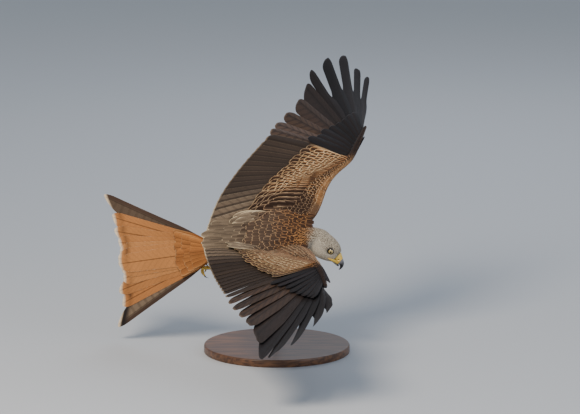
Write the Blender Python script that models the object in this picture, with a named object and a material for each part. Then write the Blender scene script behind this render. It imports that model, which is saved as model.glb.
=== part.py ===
"""Red kite in banking flight, life size, as a still museum model on a plain display stand.

The bird flies to the right of the picture and shows its back. Its left wing is raised at the top
of the picture and bends away, its right wing comes down and towards the eye, and its forked tail
fans out behind. Sizes are in millimetres and become metres as each mesh is made.
"""

import math

import bmesh
import bpy
import numpy as np

# Photo frame: x right, y up and z towards the eye, from the centre of the picture
PICTURE_CENTRE = (290.0, 207.0)
MM_PER_PIXEL = 2.6
EYE_DISTANCE = 20000.0
EYE_ELEVATION = math.radians(12.0)

# How the trunk lies in the photo frame
TRUNK_PITCH = math.radians(10.0)
TRUNK_BANK = math.radians(40.0)
TAIL_ROOT = (215.0, 250.0, -62.0)
NECK_ROOT = (300.0, 243.0, 0.0)

# Gap that neighbouring pieces keep, and the thickness of a vane
GAP = 0.3
VANE_THICKNESS = 0.6

# Trunk: share of its length from the tail, then its radius up, down and sideways
TRUNK_RINGS = (
    (0.00, 15.0, 15.0, 22.0),
    (0.10, 20.0, 22.0, 28.0),
    (0.25, 30.0, 36.0, 38.0),
    (0.45, 38.0, 53.0, 49.0),
    (0.65, 42.0, 60.0, 55.0),
    (0.82, 42.0, 54.0, 52.0),
    (0.94, 43.0, 46.0, 47.0),
    (1.00, 43.0, 43.0, 45.0),
)
BODY_SIDES = 24

# Head: its centre in the picture, the way it points, and its rings from the nape to the cere
HEAD_CENTRE = (327.2, 246.6, 16.0)
HEAD_SLOPE = math.radians(42.0)
HEAD_TILT = math.radians(25.0)
HEAD_RINGS = (
    (-28.0, 29.0, 45.0, 28.0),
    (-15.0, 29.5, 43.0, 28.0),
    (0.0, 30.0, 40.0, 27.5),
    (12.0, 29.0, 36.0, 25.0),
    (24.0, 25.5, 30.5, 20.5),
    (33.0, 19.5, 25.0, 14.5),
    (38.0, 13.5, 22.0, 10.0),
)
EYE_PLACE = (14.0, 6.0, 15.5)
EYE_RADIUS = 8.2
LID_RADIUS = 8.6
LID_THICKNESS = 1.3
MOUTH_HEIGHT = -14.6
MOUTH_BACK = 21.0
NOSTRIL_PLACE = (44.5, -3.5)
NOSTRIL_SIZE = (2.4, 1.4, 2.0)

# Bill: distance forward, height, then half its height and width
CERE_RINGS = ((38.3, -0.7, 13.2, 9.2), (44.0, -2.7, 11.6, 8.2), (50.0, -4.8, 10.0, 7.0))
UPPER_BILL_RINGS = (
    (50.3, -5.0, 9.8, 6.8),
    (55.0, -7.4, 8.1, 5.6),
    (59.0, -10.6, 6.0, 4.3),
    (62.0, -15.5, 4.0, 3.0),
    (63.2, -21.0, 2.3, 1.8),
    (62.6, -27.5, 0.5, 0.4),
)
LOWER_BILL_RINGS = (
    (38.3, -18.4, 3.0, 7.6),
    (46.0, -18.8, 3.0, 6.4),
    (52.0, -19.1, 2.4, 4.4),
    (56.0, -19.2, 1.5, 2.0),
)

# Wings: points in the picture with their depth, from the shoulder to the end of the hand
LEFT_SHOULDER_FRONT = (315.5, 217.0, -12.0)
LEFT_ELBOW = (299.6, 184.3, -28.0)
LEFT_ELBOW_FRONT = (328.0, 188.0, -14.0)
LEFT_FOREARM_FRONT = (337.0, 175.0, -20.0)
LEFT_WRIST_REAR = (345.0, 157.8, -38.0)
LEFT_WRIST_FRONT = (353.0, 160.0, -32.0)
LEFT_HAND_REAR = (355.0, 141.5, -68.0)
LEFT_HAND_FRONT = (361.5, 142.0, -66.0)
LEFT_FINGER_REAR = (363.5, 127.5, -104.0)
LEFT_FINGER_FRONT = (367.5, 126.0, -106.0)
RIGHT_SHOULDER_FRONT = (308.0, 249.5, 52.0)
RIGHT_ELBOW = (273.8, 260.0, 154.0)
RIGHT_ELBOW_FRONT = (314.0, 254.5, 128.0)
RIGHT_FOREARM_FRONT = (318.0, 261.0, 190.0)
RIGHT_WRIST_REAR = (312.8, 268.0, 240.0)
RIGHT_WRIST_FRONT = (321.5, 265.5, 237.0)
RIGHT_HAND_REAR = (318.5, 277.0, 272.0)
RIGHT_HAND_FRONT = (325.8, 277.0, 272.0)
RIGHT_FINGER_REAR = (323.5, 288.0, 305.0)
RIGHT_FINGER_FRONT = (328.0, 287.5, 308.0)

# Ends of the primaries from the innermost to the outermost, in the picture with their depth
LEFT_PRIMARY_ENDS = (
    (271.0, 130.0, -140.0),
    (276.0, 124.0, -180.0),
    (285.7, 114.0, -225.0),
    (298.0, 101.0, -275.0),
    (305.8, 87.1, -330.0),
    (310.7, 70.6, -380.0),
    (327.3, 58.1, -410.0),
    (344.9, 55.7, -419.0),
    (359.2, 70.1, -384.0),
    (368.5, 77.4, -372.0),
)
RIGHT_PRIMARY_ENDS = (
    (228.9, 303.6, 287.0),
    (233.6, 309.7, 335.0),
    (240.7, 317.1, 393.0),
    (248.3, 324.5, 456.0),
    (255.8, 337.1, 524.0),
    (260.8, 359.2, 624.0),
    (277.6, 351.3, 640.0),
    (296.9, 340.7, 652.0),
    (319.7, 319.1, 648.0),
    (330.7, 308.0, 624.0),
)

# Ends of the longest alula feather
LEFT_ALULA_END = (363.5, 138.5, -86.0)
RIGHT_ALULA_END = (328.8, 284.5, 298.0)

# Ends of the outermost, a middle and the innermost secondary
LEFT_SECONDARY_ENDS = ((266.5, 138.0, -105.0), (238.0, 170.0, -80.0), (213.0, 205.6, -62.0))
RIGHT_SECONDARY_ENDS = ((225.8, 297.0, 242.0), (214.5, 279.0, 130.0), (204.0, 254.0, 32.0))

# Feather counts
PRIMARIES = 10
SECONDARIES = 12
TERTIALS = 3
TAIL_PAIRS = 6

# Tail: its direction in the picture, how far it slopes away, and the lengths from the middle out
TAIL_HEADING = math.radians(186.8)
TAIL_SLOPE = math.radians(24.0)
TAIL_LEFT_SPREAD = math.radians(30.0)
TAIL_RIGHT_SPREAD = math.radians(28.5)
TAIL_LENGTHS = (283.0, 281.0, 284.0, 297.0, 308.0, 348.0)

TAIL_WIDTH = 52.0
TAIL_STACK_TOP = 5.2
TAIL_STACK_STEP = 0.95
# Tail coverts: lift of the first, step between two, and reach
UPPER_TAIL_COVERTS = (11.2, 0.95, 98.0)
UNDER_TAIL_COVERTS = (-6.6, 0.95, 112.0)
TAIL_COVERT_COUNT = 5

# Scapulars: along, sideways and up from the root of the tail, for the innermost and the outermost
SCAPULAR_ROOTS = ((180.0, 33.0, 27.0), (172.0, 62.0, 40.0))
SCAPULAR_ENDS = ((44.0, 15.0, 47.0), (58.0, 50.0, 66.0))
SCAPULARS = 5
SCAPULAR_WIDTH = 26.0
SCAPULAR_TILT = math.radians(9.0)

# Legs and feet, as forward, sideways and up from the root of the tail
HIP = (112.0, 30.0, -34.0)
KNEE = (84.0, 38.0, -54.0)
HEEL = (8.0, 22.0, -49.0)
TARSUS_END = (-46.0, 19.0, -43.0)
THIGH_RADII = (26.0, 24.0, 17.0, 9.0)
TARSUS_RADIUS = 4.2
TOE_RADIUS = 3.2

# Stand
BASE_RADIUS = 190.0
BASE_THICKNESS = 20.0
BASE_EDGE = 4.0
ROD_RADIUS = 5.0
ROD_ALONG_TRUNK = 168.0
CENTRE_HEIGHT = 384.0

# Colours as red, green and blue, then roughness and metallic
FINISHES = {
    "back_feathers": ((0.150, 0.090, 0.055), 0.80, 0.0),
    "head_feathers": ((0.480, 0.430, 0.360), 0.85, 0.0),
    "neck_feathers": ((0.300, 0.190, 0.110), 0.85, 0.0),
    "flight_feathers": ((0.060, 0.045, 0.040), 0.65, 0.0),
    "wing_coverts": ((0.360, 0.220, 0.120), 0.75, 0.0),
    "tail_feathers": ((0.500, 0.220, 0.080), 0.70, 0.0),
    "thigh_feathers": ((0.330, 0.160, 0.080), 0.85, 0.0),
    "yellow_skin": ((0.750, 0.520, 0.080), 0.50, 0.0),
    "dark_horn": ((0.030, 0.030, 0.035), 0.35, 0.0),
    "eye": ((0.700, 0.550, 0.200), 0.10, 0.0),
    "walnut": ((0.160, 0.090, 0.050), 0.45, 0.0),
    "steel": ((0.550, 0.550, 0.560), 0.30, 1.0),
}


def seen(point):
    """A point of the picture with its depth, in the photo frame."""
    shrink = MM_PER_PIXEL * (1.0 - point[2] / EYE_DISTANCE)
    across = (point[0] - PICTURE_CENTRE[0]) * shrink
    up = (PICTURE_CENTRE[1] - point[1]) * shrink
    return np.array((across, up, point[2]))


def unit(vector):
    return vector / np.linalg.norm(vector)


# The trunk's own axes
TAIL_BASE = seen(TAIL_ROOT)
NECK_BASE = seen(NECK_ROOT)
FORWARD = unit(NECK_BASE - TAIL_BASE)
TRUNK_LENGTH = float(np.linalg.norm(NECK_BASE - TAIL_BASE))
BACK_TO_EYE = np.array((-math.sin(TRUNK_PITCH), 0.0, math.cos(TRUNK_PITCH)))
BACK = math.cos(TRUNK_BANK) * BACK_TO_EYE + math.sin(TRUNK_BANK) * np.array((0.0, 1.0, 0.0))
BACK = unit(BACK - FORWARD * (BACK @ FORWARD))
RIGHT = np.cross(FORWARD, BACK)

# The head's own axes
HEAD_FORWARD = np.array((math.cos(HEAD_SLOPE), -math.sin(HEAD_SLOPE), 0.0))
HEAD_UP = np.array((math.sin(HEAD_SLOPE), math.cos(HEAD_SLOPE), 0.0)) * math.cos(HEAD_TILT)
HEAD_UP = HEAD_UP + np.array((0.0, 0.0, math.sin(HEAD_TILT)))
HEAD_RIGHT = np.cross(HEAD_FORWARD, HEAD_UP)

# The tail's own axes
TAIL_BACKWARD = np.array(
    (
        math.cos(TAIL_HEADING) * math.cos(TAIL_SLOPE),
        math.sin(TAIL_HEADING) * math.cos(TAIL_SLOPE),
        -math.sin(TAIL_SLOPE),
    )
)
TAIL_LEFT = np.array((math.sin(TAIL_HEADING), -math.cos(TAIL_HEADING), 0.0))
TAIL_TOP = unit(np.cross(TAIL_LEFT, TAIL_BACKWARD))


def trunk_point(forward, right, up):
    """A point given forward of the tail root, to the bird's right and up from the trunk's middle."""
    return TAIL_BASE + FORWARD * forward + RIGHT * right + BACK * up


def head_point(forward, up, right):
    return seen(HEAD_CENTRE) + HEAD_FORWARD * forward + HEAD_UP * up + HEAD_RIGHT * right


ROD_TOP = trunk_point(ROD_ALONG_TRUNK, 0.0, 0.0)


def to_world(points):
    """Photo frame to metres, +Z up, with the origin under the middle of the base."""
    sine, cosine = math.sin(EYE_ELEVATION), math.cos(EYE_ELEVATION)
    points = np.atleast_2d(points)
    rod_depth = ROD_TOP[1] * sine - ROD_TOP[2] * cosine
    across = points[:, 0] - ROD_TOP[0]
    depth = points[:, 1] * sine - points[:, 2] * cosine - rod_depth
    height = points[:, 1] * cosine + points[:, 2] * sine + CENTRE_HEIGHT
    return np.column_stack((across, depth, height)) / 1000.0


# Materials and objects


def clear_scene():
    for obj in list(bpy.data.objects):
        bpy.data.objects.remove(obj, do_unlink=True)


def material(name):
    found = bpy.data.materials.get(name)
    if found:
        return found
    colour, roughness, metallic = FINISHES[name]
    made = bpy.data.materials.new(name)
    made.use_nodes = True
    shader = made.node_tree.nodes["Principled BSDF"]
    shader.inputs["Base Color"].default_value = (*colour, 1.0)
    shader.inputs["Roughness"].default_value = roughness
    shader.inputs["Metallic"].default_value = metallic
    return made


def new_object(name, points, faces, finish, in_world=False):
    """A mesh object with its faces turned outwards."""
    mesh = bpy.data.meshes.new(name)
    placed = points if in_world else to_world(points)
    mesh.from_pydata([tuple(p) for p in placed], [], [tuple(f) for f in faces])
    shape = bmesh.new()
    shape.from_mesh(mesh)
    bmesh.ops.recalc_face_normals(shape, faces=shape.faces)
    shape.to_mesh(mesh)
    shape.free()
    mesh.materials.append(material(finish))
    obj = bpy.data.objects.new(name, mesh)
    bpy.context.scene.collection.objects.link(obj)
    return obj


def loft(rings):
    """Points and triangles of a closed body through equal rings of points, with flat ends.

    Each end is a fan of triangles round its middle.
    """
    rings = np.asarray(rings)
    count, sides = rings.shape[:2]
    faces = []
    for i in range(count - 1):
        for j in range(sides):
            k = (j + 1) % sides
            a, b = i * sides + j, i * sides + k
            c, d = a + sides, b + sides
            faces.append((a, b, d))
            faces.append((a, d, c))
    last = (count - 1) * sides
    middle = count * sides
    for j in range(sides):
        k = (j + 1) % sides
        faces.append((middle, k, j))
        faces.append((middle + 1, last + j, last + k))
    points = np.vstack((rings.reshape(-1, 3), rings[0].mean(axis=0), rings[-1].mean(axis=0)))
    return points, faces


def oval(centre, up_axis, side_axis, up, down, side, count=BODY_SIDES):
    """An oval ring whose upper and lower halves have their own radius."""
    turn = np.linspace(0.0, 2.0 * math.pi, count, endpoint=False)[:, None]
    height = np.sin(turn)
    reach = np.where(height > 0.0, up, down)
    return centre + up_axis * height * reach + side_axis * np.cos(turn) * side


def between(points, share):
    """A smooth line through the points, read at a share of its length counted in points."""
    points = np.asarray(points, dtype=float)
    last = len(points) - 1
    padded = np.vstack((2 * points[0] - points[1], points, 2 * points[-1] - points[-2]))
    place = min(max(share, 0.0), 1.0) * last
    i = min(int(place), last - 1)
    t = place - i
    a, b, c, d = padded[i : i + 4]
    straight = 2 * b + (c - a) * t
    curved = (2 * a - 5 * b + 4 * c - d) * t**2 + (3 * b - a - 3 * c + d) * t**3
    return 0.5 * (straight + curved)


def tube(path, radii, sides=8, first_axis=None):
    """Rings along a path, each square to it."""
    path = np.asarray(path, dtype=float)
    ahead = np.gradient(path, axis=0)
    side = np.array((0.0, 0.0, 1.0)) if first_axis is None else first_axis
    rings = []
    for centre, direction, radius in zip(path, ahead, radii):
        direction = unit(direction)
        side = unit(side - direction * (side @ direction))
        up = np.cross(direction, side)
        rings.append(oval(centre, up, side, radius, radius, radius, sides))
    return loft(rings)


def apply_modifiers(obj):
    bpy.context.view_layer.update()
    graph = bpy.context.evaluated_depsgraph_get()
    made = bpy.data.meshes.new_from_object(obj.evaluated_get(graph))
    obj.modifiers.clear()
    obj.data = made


def keep_largest(obj):
    """Leaves only the largest closed surface of a mesh."""
    shape = bmesh.new()
    shape.from_mesh(obj.data)
    left = set(shape.verts)
    groups = []
    while left:
        group = set()
        edge = [left.pop()]
        while edge:
            vert = edge.pop()
            group.add(vert)
            near = {e.other_vert(vert) for e in vert.link_edges} & left
            left -= near
            edge.extend(near)
        groups.append(group)
    groups.sort(key=lambda g: sum(f.calc_area() for v in g for f in v.link_faces))
    drop = [vert for group in groups[:-1] for vert in group]
    bmesh.ops.delete(shape, geom=drop, context="VERTS")
    shape.to_mesh(obj.data)
    shape.free()


def fuse(obj, pieces):
    """Joins closed pieces to an object by one union and removes them."""
    group = bpy.data.collections.new(obj.name + "_pieces")
    for piece in pieces:
        group.objects.link(piece)
    union = obj.modifiers.new("fuse", "BOOLEAN")
    union.operation = "UNION"
    union.operand_type = "COLLECTION"
    union.collection = group
    union.solver = "MANIFOLD"
    apply_modifiers(obj)
    for piece in pieces:
        bpy.data.objects.remove(piece, do_unlink=True)
    bpy.data.collections.remove(group)
    keep_largest(obj)


def carve(obj, cutters):
    """Takes closed cutters out of an object and removes them."""
    for cutter in cutters:
        cut = obj.modifiers.new("carve", "BOOLEAN")
        cut.operation = "DIFFERENCE"
        cut.object = cutter
        cut.solver = "MANIFOLD"
        apply_modifiers(obj)
        bpy.data.objects.remove(cutter, do_unlink=True)
    keep_largest(obj)


# Trunk, neck and head


def trunk_rings(extra=0.0):
    rings = []
    for share, up, down, side in TRUNK_RINGS:
        centre = TAIL_BASE + FORWARD * TRUNK_LENGTH * share
        rings.append(oval(centre, BACK, RIGHT, up + extra, down + extra, side + extra))
    return rings


def smooth_rings(rings, count):
    """More rings between the given ones, on smooth lines through their points."""
    rings = np.asarray(rings)
    shares = np.linspace(0.0, 1.0, count)
    return np.array([[between(rings[:, j], s) for j in range(rings.shape[1])] for s in shares])


def trunk_cutter():
    """The trunk, wider by the gap, that cuts what grows from it."""
    rings = smooth_rings(trunk_rings(GAP), 13)
    return new_object("trunk_cutter", *loft(rings), "back_feathers")


def head_rings():
    rings = []
    for forward, up, down, side in HEAD_RINGS:
        centre = head_point(forward, 0.0, 0.0)
        rings.append(oval(centre, HEAD_UP, HEAD_RIGHT, up, down, side))
    return rings


def neck_rings(extra=0.0):
    """Rings that turn from the trunk's front to the back of the head."""
    start_radii = [radius + extra for radius in TRUNK_RINGS[-1][1:]]
    start = oval(NECK_BASE + FORWARD * (GAP - 2.0 * extra), BACK, RIGHT, *start_radii)
    end_centre = head_point(HEAD_RINGS[0][0] - GAP, 0.0, 0.0)
    end_radii = [radius + extra for radius in HEAD_RINGS[0][1:]]
    end = oval(end_centre, HEAD_UP, HEAD_RIGHT, *end_radii)
    reach = np.linalg.norm(end_centre - NECK_BASE)
    rings = []
    for t in np.linspace(0.0, 1.0, 6):
        ease = t * t * (3.0 - 2.0 * t)
        # Hermite curves leave each ring square to it
        out = t * (1.0 - t) ** 2 * reach
        back = t * t * (1.0 - t) * reach
        bulge = out * FORWARD - back * HEAD_FORWARD
        rings.append(start * (1.0 - ease) + end * ease + bulge)
    return rings


def neck_cutter():
    """The neck, wider by the gap, that cuts the wing beside it."""
    return new_object("neck_cutter", *loft(neck_rings(GAP)), "neck_feathers")


def make_trunk():
    return new_object("torso", *loft(smooth_rings(trunk_rings(), 13)), "back_feathers")


def scapulars(side):
    """Large feathers from the shoulder back over the root of the wing."""
    shares = np.linspace(0.0, 1.0, SCAPULARS)[:, None]
    inner, outer = (np.array(mark) for mark in SCAPULAR_ROOTS)
    roots = inner + (outer - inner) * shares
    inner, outer = (np.array(mark) for mark in SCAPULAR_ENDS)
    ends = inner + (outer - inner) * shares
    flip = np.array((1.0, side, 1.0))
    roots = [trunk_point(*mark) for mark in roots * flip]
    ends = [trunk_point(*mark) for mark in ends * flip]
    sheet = Sheet(roots, ends, np.full(SCAPULARS, 4.0), SCAPULAR_TILT)
    widths = (SCAPULAR_WIDTH * 0.5, SCAPULAR_WIDTH * 0.4)
    return [vane(sheet, i, -0.04, 1.0, (0.0, 0.0), widths, COVERT_OUTLINE) for i in range(SCAPULARS)]


def ball(name, centre, axes, radii, finish, segments=16, bands=10):
    """A closed oval ball with its own axes."""
    points = []
    for band in range(1, bands):
        lean = math.pi * band / bands
        turn = np.linspace(0.0, 2.0 * math.pi, segments, endpoint=False)
        local = np.column_stack(
            (
                np.full(segments, math.cos(lean)) * radii[0],
                np.cos(turn) * math.sin(lean) * radii[1],
                np.sin(turn) * math.sin(lean) * radii[2],
            )
        )
        points.append(centre + local @ np.array(axes))
    count = len(points) * segments
    corners = np.vstack((*points, centre + axes[0] * radii[0], centre - axes[0] * radii[0]))
    faces = []
    for j in range(segments):
        k = (j + 1) % segments
        faces.append((j, k, count))
        faces.append((count - segments + k, count - segments + j, count + 1))
        for i in range(bands - 2):
            a, b = i * segments + j, i * segments + k
            faces.append((a, a + segments, b + segments))
            faces.append((a, b + segments, b))
    return new_object(name, corners, faces, finish)


def eye_centre(side):
    forward, up, right = EYE_PLACE
    return head_point(forward, up, right * side)


def eye_outward(side):
    """The way an eye looks: mostly sideways and a little forward."""
    return unit(HEAD_RIGHT * side + HEAD_FORWARD * 0.28 - HEAD_UP * 0.04)


def eye_axes(side):
    out = eye_outward(side)
    ahead = unit(HEAD_FORWARD - out * (HEAD_FORWARD @ out))
    return out, ahead, np.cross(out, ahead)


def lid(side):
    """A low ring round the eye that the lids make."""
    out, ahead, up = eye_axes(side)
    centre = eye_centre(side) + out * 3.0
    turns = np.linspace(0.0, 2.0 * math.pi, 16, endpoint=False)
    rings = []
    for turn in turns:
        spoke = ahead * math.cos(turn) + up * math.sin(turn)
        middle = centre + spoke * LID_RADIUS
        rings.append(oval(middle, out, spoke, LID_THICKNESS, 3.0, LID_THICKNESS, 6))
    rings = np.asarray(rings)
    count, sides = rings.shape[:2]
    faces = []
    for i in range(count):
        for j in range(sides):
            a = i * sides + j
            b = i * sides + (j + 1) % sides
            c = ((i + 1) % count) * sides + j
            d = ((i + 1) % count) * sides + (j + 1) % sides
            faces.append((a, b, d))
            faces.append((a, d, c))
    return new_object("lid", rings.reshape(-1, 3), faces, "head_feathers")


def brow(side):
    """The ridge above the eye that gives a kite its frown."""
    centre = head_point(13.0, 14.5, 17.0 * side)
    ahead = unit(HEAD_FORWARD * 0.97 - HEAD_UP * 0.22)
    axes = (ahead, HEAD_UP, HEAD_RIGHT)
    return ball("brow", centre, axes, (15.0, 4.2, 6.5), "head_feathers", 12, 8)


def make_head():
    head = new_object("head", *loft(smooth_rings(head_rings(), 12)), "head_feathers")
    fuse(head, [lid(-1), lid(1), brow(-1), brow(1)])
    cutters = []
    for side in (-1, 1):
        radii = (EYE_RADIUS + GAP,) * 3
        cutters.append(ball("socket", eye_centre(side), eye_axes(side), radii, "eye", 16, 10))
    low = head_point(MOUTH_BACK, MOUTH_HEIGHT - 0.35, -40.0)
    long, high, wide = HEAD_FORWARD * 40.0, HEAD_UP * 0.7, HEAD_RIGHT * 80.0
    ring = np.array((low, low + high, low + high + wide, low + wide))
    cutters.append(new_object("mouth", *loft((ring, ring + long)), "eye"))
    carve(head, cutters)
    for side, name in ((-1, "eye_left"), (1, "eye_right")):
        radii = (EYE_RADIUS,) * 3
        ball(name, eye_centre(side), eye_axes(side), radii, "eye", 16, 10)


def bill_rings(table, first_square):
    """Rings along a bent bill, the first square to the head."""
    table = np.asarray(table)
    path = np.array([head_point(f, u, 0.0) for f, u in table[:, :2]])
    ahead = np.gradient(path, axis=0)
    rings = []
    for i, (centre, direction) in enumerate(zip(path, ahead)):
        direction = HEAD_FORWARD if i < first_square else unit(direction)
        up = np.cross(HEAD_RIGHT, direction)
        high, wide = table[i, 2:]
        rings.append(oval(centre, up, HEAD_RIGHT, high, high, wide, 16))
    return rings


def make_bill():
    cere = new_object("cere", *loft(bill_rings(CERE_RINGS, 3)), "yellow_skin")
    forward, up = NOSTRIL_PLACE
    axes = (unit(HEAD_FORWARD * 0.6 + HEAD_UP * 0.8), HEAD_UP, HEAD_RIGHT)
    axes = (axes[0], np.cross(HEAD_RIGHT, axes[0]), HEAD_RIGHT)
    nostrils = []
    for side in (-1, 1):
        centre = head_point(forward, up, 8.0 * side)
        nostrils.append(ball("nostril", centre, axes, NOSTRIL_SIZE, "dark_horn", 8, 6))
    carve(cere, nostrils)
    new_object("bill_upper", *loft(bill_rings(UPPER_BILL_RINGS, 1)), "dark_horn")
    new_object("bill_lower", *loft(bill_rings(LOWER_BILL_RINGS, 1)), "dark_horn")


# Vanes on a sheet of feathers


class Sheet:
    """A curved surface through feather shafts side by side, from the innermost to the outermost.

    A feather's outer edge stands above this surface and its inner edge below it, in step with
    their distance from the shaft, so feathers overlap like tiles and never cross.
    """

    def __init__(self, roots, ends, bow, tilt):
        self.roots = np.asarray(roots)
        self.ends = np.asarray(ends)
        self.bow = np.asarray(bow)[:, None]
        self.rise = math.tan(tilt)
        self.facing = 1.0
        if self.normal((len(self.roots) - 1) / 2.0, 0.3) @ BACK < 0.0:
            self.facing = -1.0

    def read(self, values, place):
        """Values on a smooth line between feathers, carried straight on past both ends."""
        last = len(values) - 1
        if place < 0.0:
            return values[0] + (values[1] - values[0]) * place
        if place > last:
            return values[last] + (values[last] - values[last - 1]) * (place - last)
        return between(values, place / last)

    def length(self, place):
        return float(np.linalg.norm(self.read(self.ends, place) - self.read(self.roots, place)))

    def flat(self, place, share):
        root = self.read(self.roots, place)
        return root + (self.read(self.ends, place) - root) * share

    def normal(self, place, share):
        share = max(share, 0.3)
        ahead = self.flat(place, share + 0.05) - self.flat(place, share - 0.05)
        side = self.flat(place + 1.0, share) - self.flat(place - 1.0, share)
        return unit(np.cross(ahead, side)) * self.facing

    def point(self, place, share, height=0.0):
        """A point at a height over the surface, which bows between roots and ends."""
        arch = 4.0 * share * (1.0 - share) if 0.0 < share < 1.0 else 0.0
        bend = float(self.read(self.bow, place)[0]) * arch
        return self.flat(place, share) + self.normal(place, 0.5) * bend + self.normal(place, share) * height

    def spacing(self, place, share):
        """How far apart shafts lie here, measured across them."""
        ahead = unit(self.flat(place, share + 0.05) - self.flat(place, share - 0.05))
        side = self.flat(place + 0.5, share) - self.flat(place - 0.5, share)
        return float(np.linalg.norm(side - ahead * (side @ ahead)))


# The most that a vane's width may be, counted in the distance to the next shaft
WIDEST_OVERLAP = 1.7

# Share along a vane, then the share of its full width and of its thickness
FLIGHT_OUTLINE = (
    (0.0, 0.10, 1.0),
    (0.14, 0.14, 1.0),
    (0.30, 1.0, 1.0),
    (0.66, 1.0, 1.0),
    (0.91, 0.84, 0.9),
    (1.0, 0.30, 0.6),
)
FINGER_OUTLINE = (
    (0.0, 0.10, 1.0),
    (0.12, 0.12, 1.0),
    (0.26, 1.0, 1.0),
    (0.57, 1.0, 1.0),
    (0.67, 0.64, 1.0),
    (0.92, 0.56, 0.9),
    (1.0, 0.22, 0.6),
)
COVERT_OUTLINE = ((0.0, 0.22, 1.0), (0.45, 0.95, 1.0), (0.84, 0.90, 0.9), (1.0, 0.34, 0.6))


def vane_mesh(sheet, place, start, end, lift, outer, inner, outline):
    """A closed thin slab along a shaft, split into the same triangles on both faces."""
    rings = []
    for along, width, thick in outline:
        share = start + (end - start) * along
        height = lift[0] + (lift[1] - lift[0]) * along
        step = sheet.spacing(place, share)
        half = VANE_THICKNESS * thick / 2.0
        room = min(1.0, WIDEST_OVERLAP * step / ((outer + inner) * width))
        ring = []
        for reach in (outer * width * room, -inner * width * room):
            edge = place + reach / step
            level = height + reach * sheet.rise
            ring.append((sheet.point(edge, share, level + half), sheet.point(edge, share, level - half)))
        rings.append((ring[0][0], ring[1][0], ring[1][1], ring[0][1]))
    points = np.asarray(rings).reshape(-1, 3)
    faces = []
    for i in range(len(rings) - 1):
        a, b, c, d = range(4 * i, 4 * i + 4)
        e, f, g, h = range(4 * i + 4, 4 * i + 8)
        faces += [(a, b, f), (a, f, e), (d, g, c), (d, h, g)]
        faces += [(b, c, g), (b, g, f), (d, a, e), (d, e, h)]
    last = 4 * (len(rings) - 1)
    faces += [(0, 3, 2), (0, 2, 1), (last, last + 1, last + 2), (last, last + 2, last + 3)]
    return points, faces


def vane(sheet, place, start, end, lift, widths, outline):
    """One feather of a sheet, from a share before its root to a share of its shaft."""
    shape = vane_mesh(sheet, place, start, end, lift, *widths, outline)
    return new_object("vane", *shape, "flight_feathers")


# Wings


# Section of a wing's fleshy part: distance forward of the feather roots, then height
WING_SECTION = (
    (-6.0, 1.7),
    (2.0, 4.2),
    (16.0, 8.8),
    (34.0, 13.5),
    (52.0, 14.0),
    (66.0, 9.0),
    (74.0, 1.0),
    (66.0, -5.0),
    (50.0, -7.0),
    (30.0, -6.6),
    (12.0, -5.2),
    (0.0, -3.4),
    (-6.0, -1.7),
)
SECTION_CHORD = 74.0


def wing_ring(rear, front, span, height):
    """One section of a wing, from its feather roots forward to its leading edge."""
    chord = front - rear
    up = np.cross(span, chord)
    up = unit(up if up @ BACK > 0.0 else -up)
    ahead = unit(chord)
    scale = np.linalg.norm(chord) / SECTION_CHORD
    section = np.array(WING_SECTION)
    forward = np.where(section[:, 0] > 0.0, section[:, 0] * scale, section[:, 0])
    return rear + ahead * forward[:, None] + up * section[:, 1:] * height


def wing_rings(rears, fronts, heights, shares):
    rings = []
    for share in shares:
        rear, front = between(rears, share), between(fronts, share)
        ahead, behind = min(share + 0.02, 1.0), max(share - 0.02, 0.0)
        span = between(rears, ahead) + between(fronts, ahead)
        span = span - between(rears, behind) - between(fronts, behind)
        height = float(between([(h,) for h in heights], share)[0])
        rings.append(wing_ring(rear, front, span, height))
    return rings


WING_HEIGHTS = (1.25, 1.25, 1.10, 1.0, 0.85, 0.72, 0.45)
# The wrist's place among the seven marks along a wing
WRIST_SHARE = 4.0 / 6.0
WING_TILT = math.radians(9.0)
SOFTENING = 5
# The places among the feathers that lie at the marks from the shoulder to the end of the hand
WING_PLACES = (-1.0, TERTIALS - 0.5, TERTIALS + 5.5, TERTIALS + 11.5, TERTIALS + 16.5, TERTIALS + 21.0)

# Feathers of the wing
ROOT_DEPTH = 9.0
SECONDARY_WIDTH = 40.0
PRIMARY_WIDTHS = (40.0, 40.0, 41.0, 42.0, 43.0, 44.0, 48.0, 38.0, 26.0, 21.0)
ALULA_FEATHERS = 3
ALULA_TILT = math.radians(12.0)
# A tier's root as a share of the flesh's depth, its lift at the root and the end, reach and width
GREATER_COVERTS = (0.40, 6.4, 7.6, 100.0, 30.0)
MEDIAN_COVERTS = (0.62, 11.0, 12.0, 54.0, 24.0)
PRIMARY_COVERTS = (0.40, 5.8, 8.4, 112.0, 22.0)


def soften(marks, count):
    """Rounds the bends of a line of marks; those from the count on stay in place."""
    marks = np.array(marks)
    for _ in range(SOFTENING):
        inner = (marks[:-2] + 2.0 * marks[1:-1] + marks[2:]) / 4.0
        marks[1 : count - 1] = inner[: count - 2]
    return marks


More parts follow.
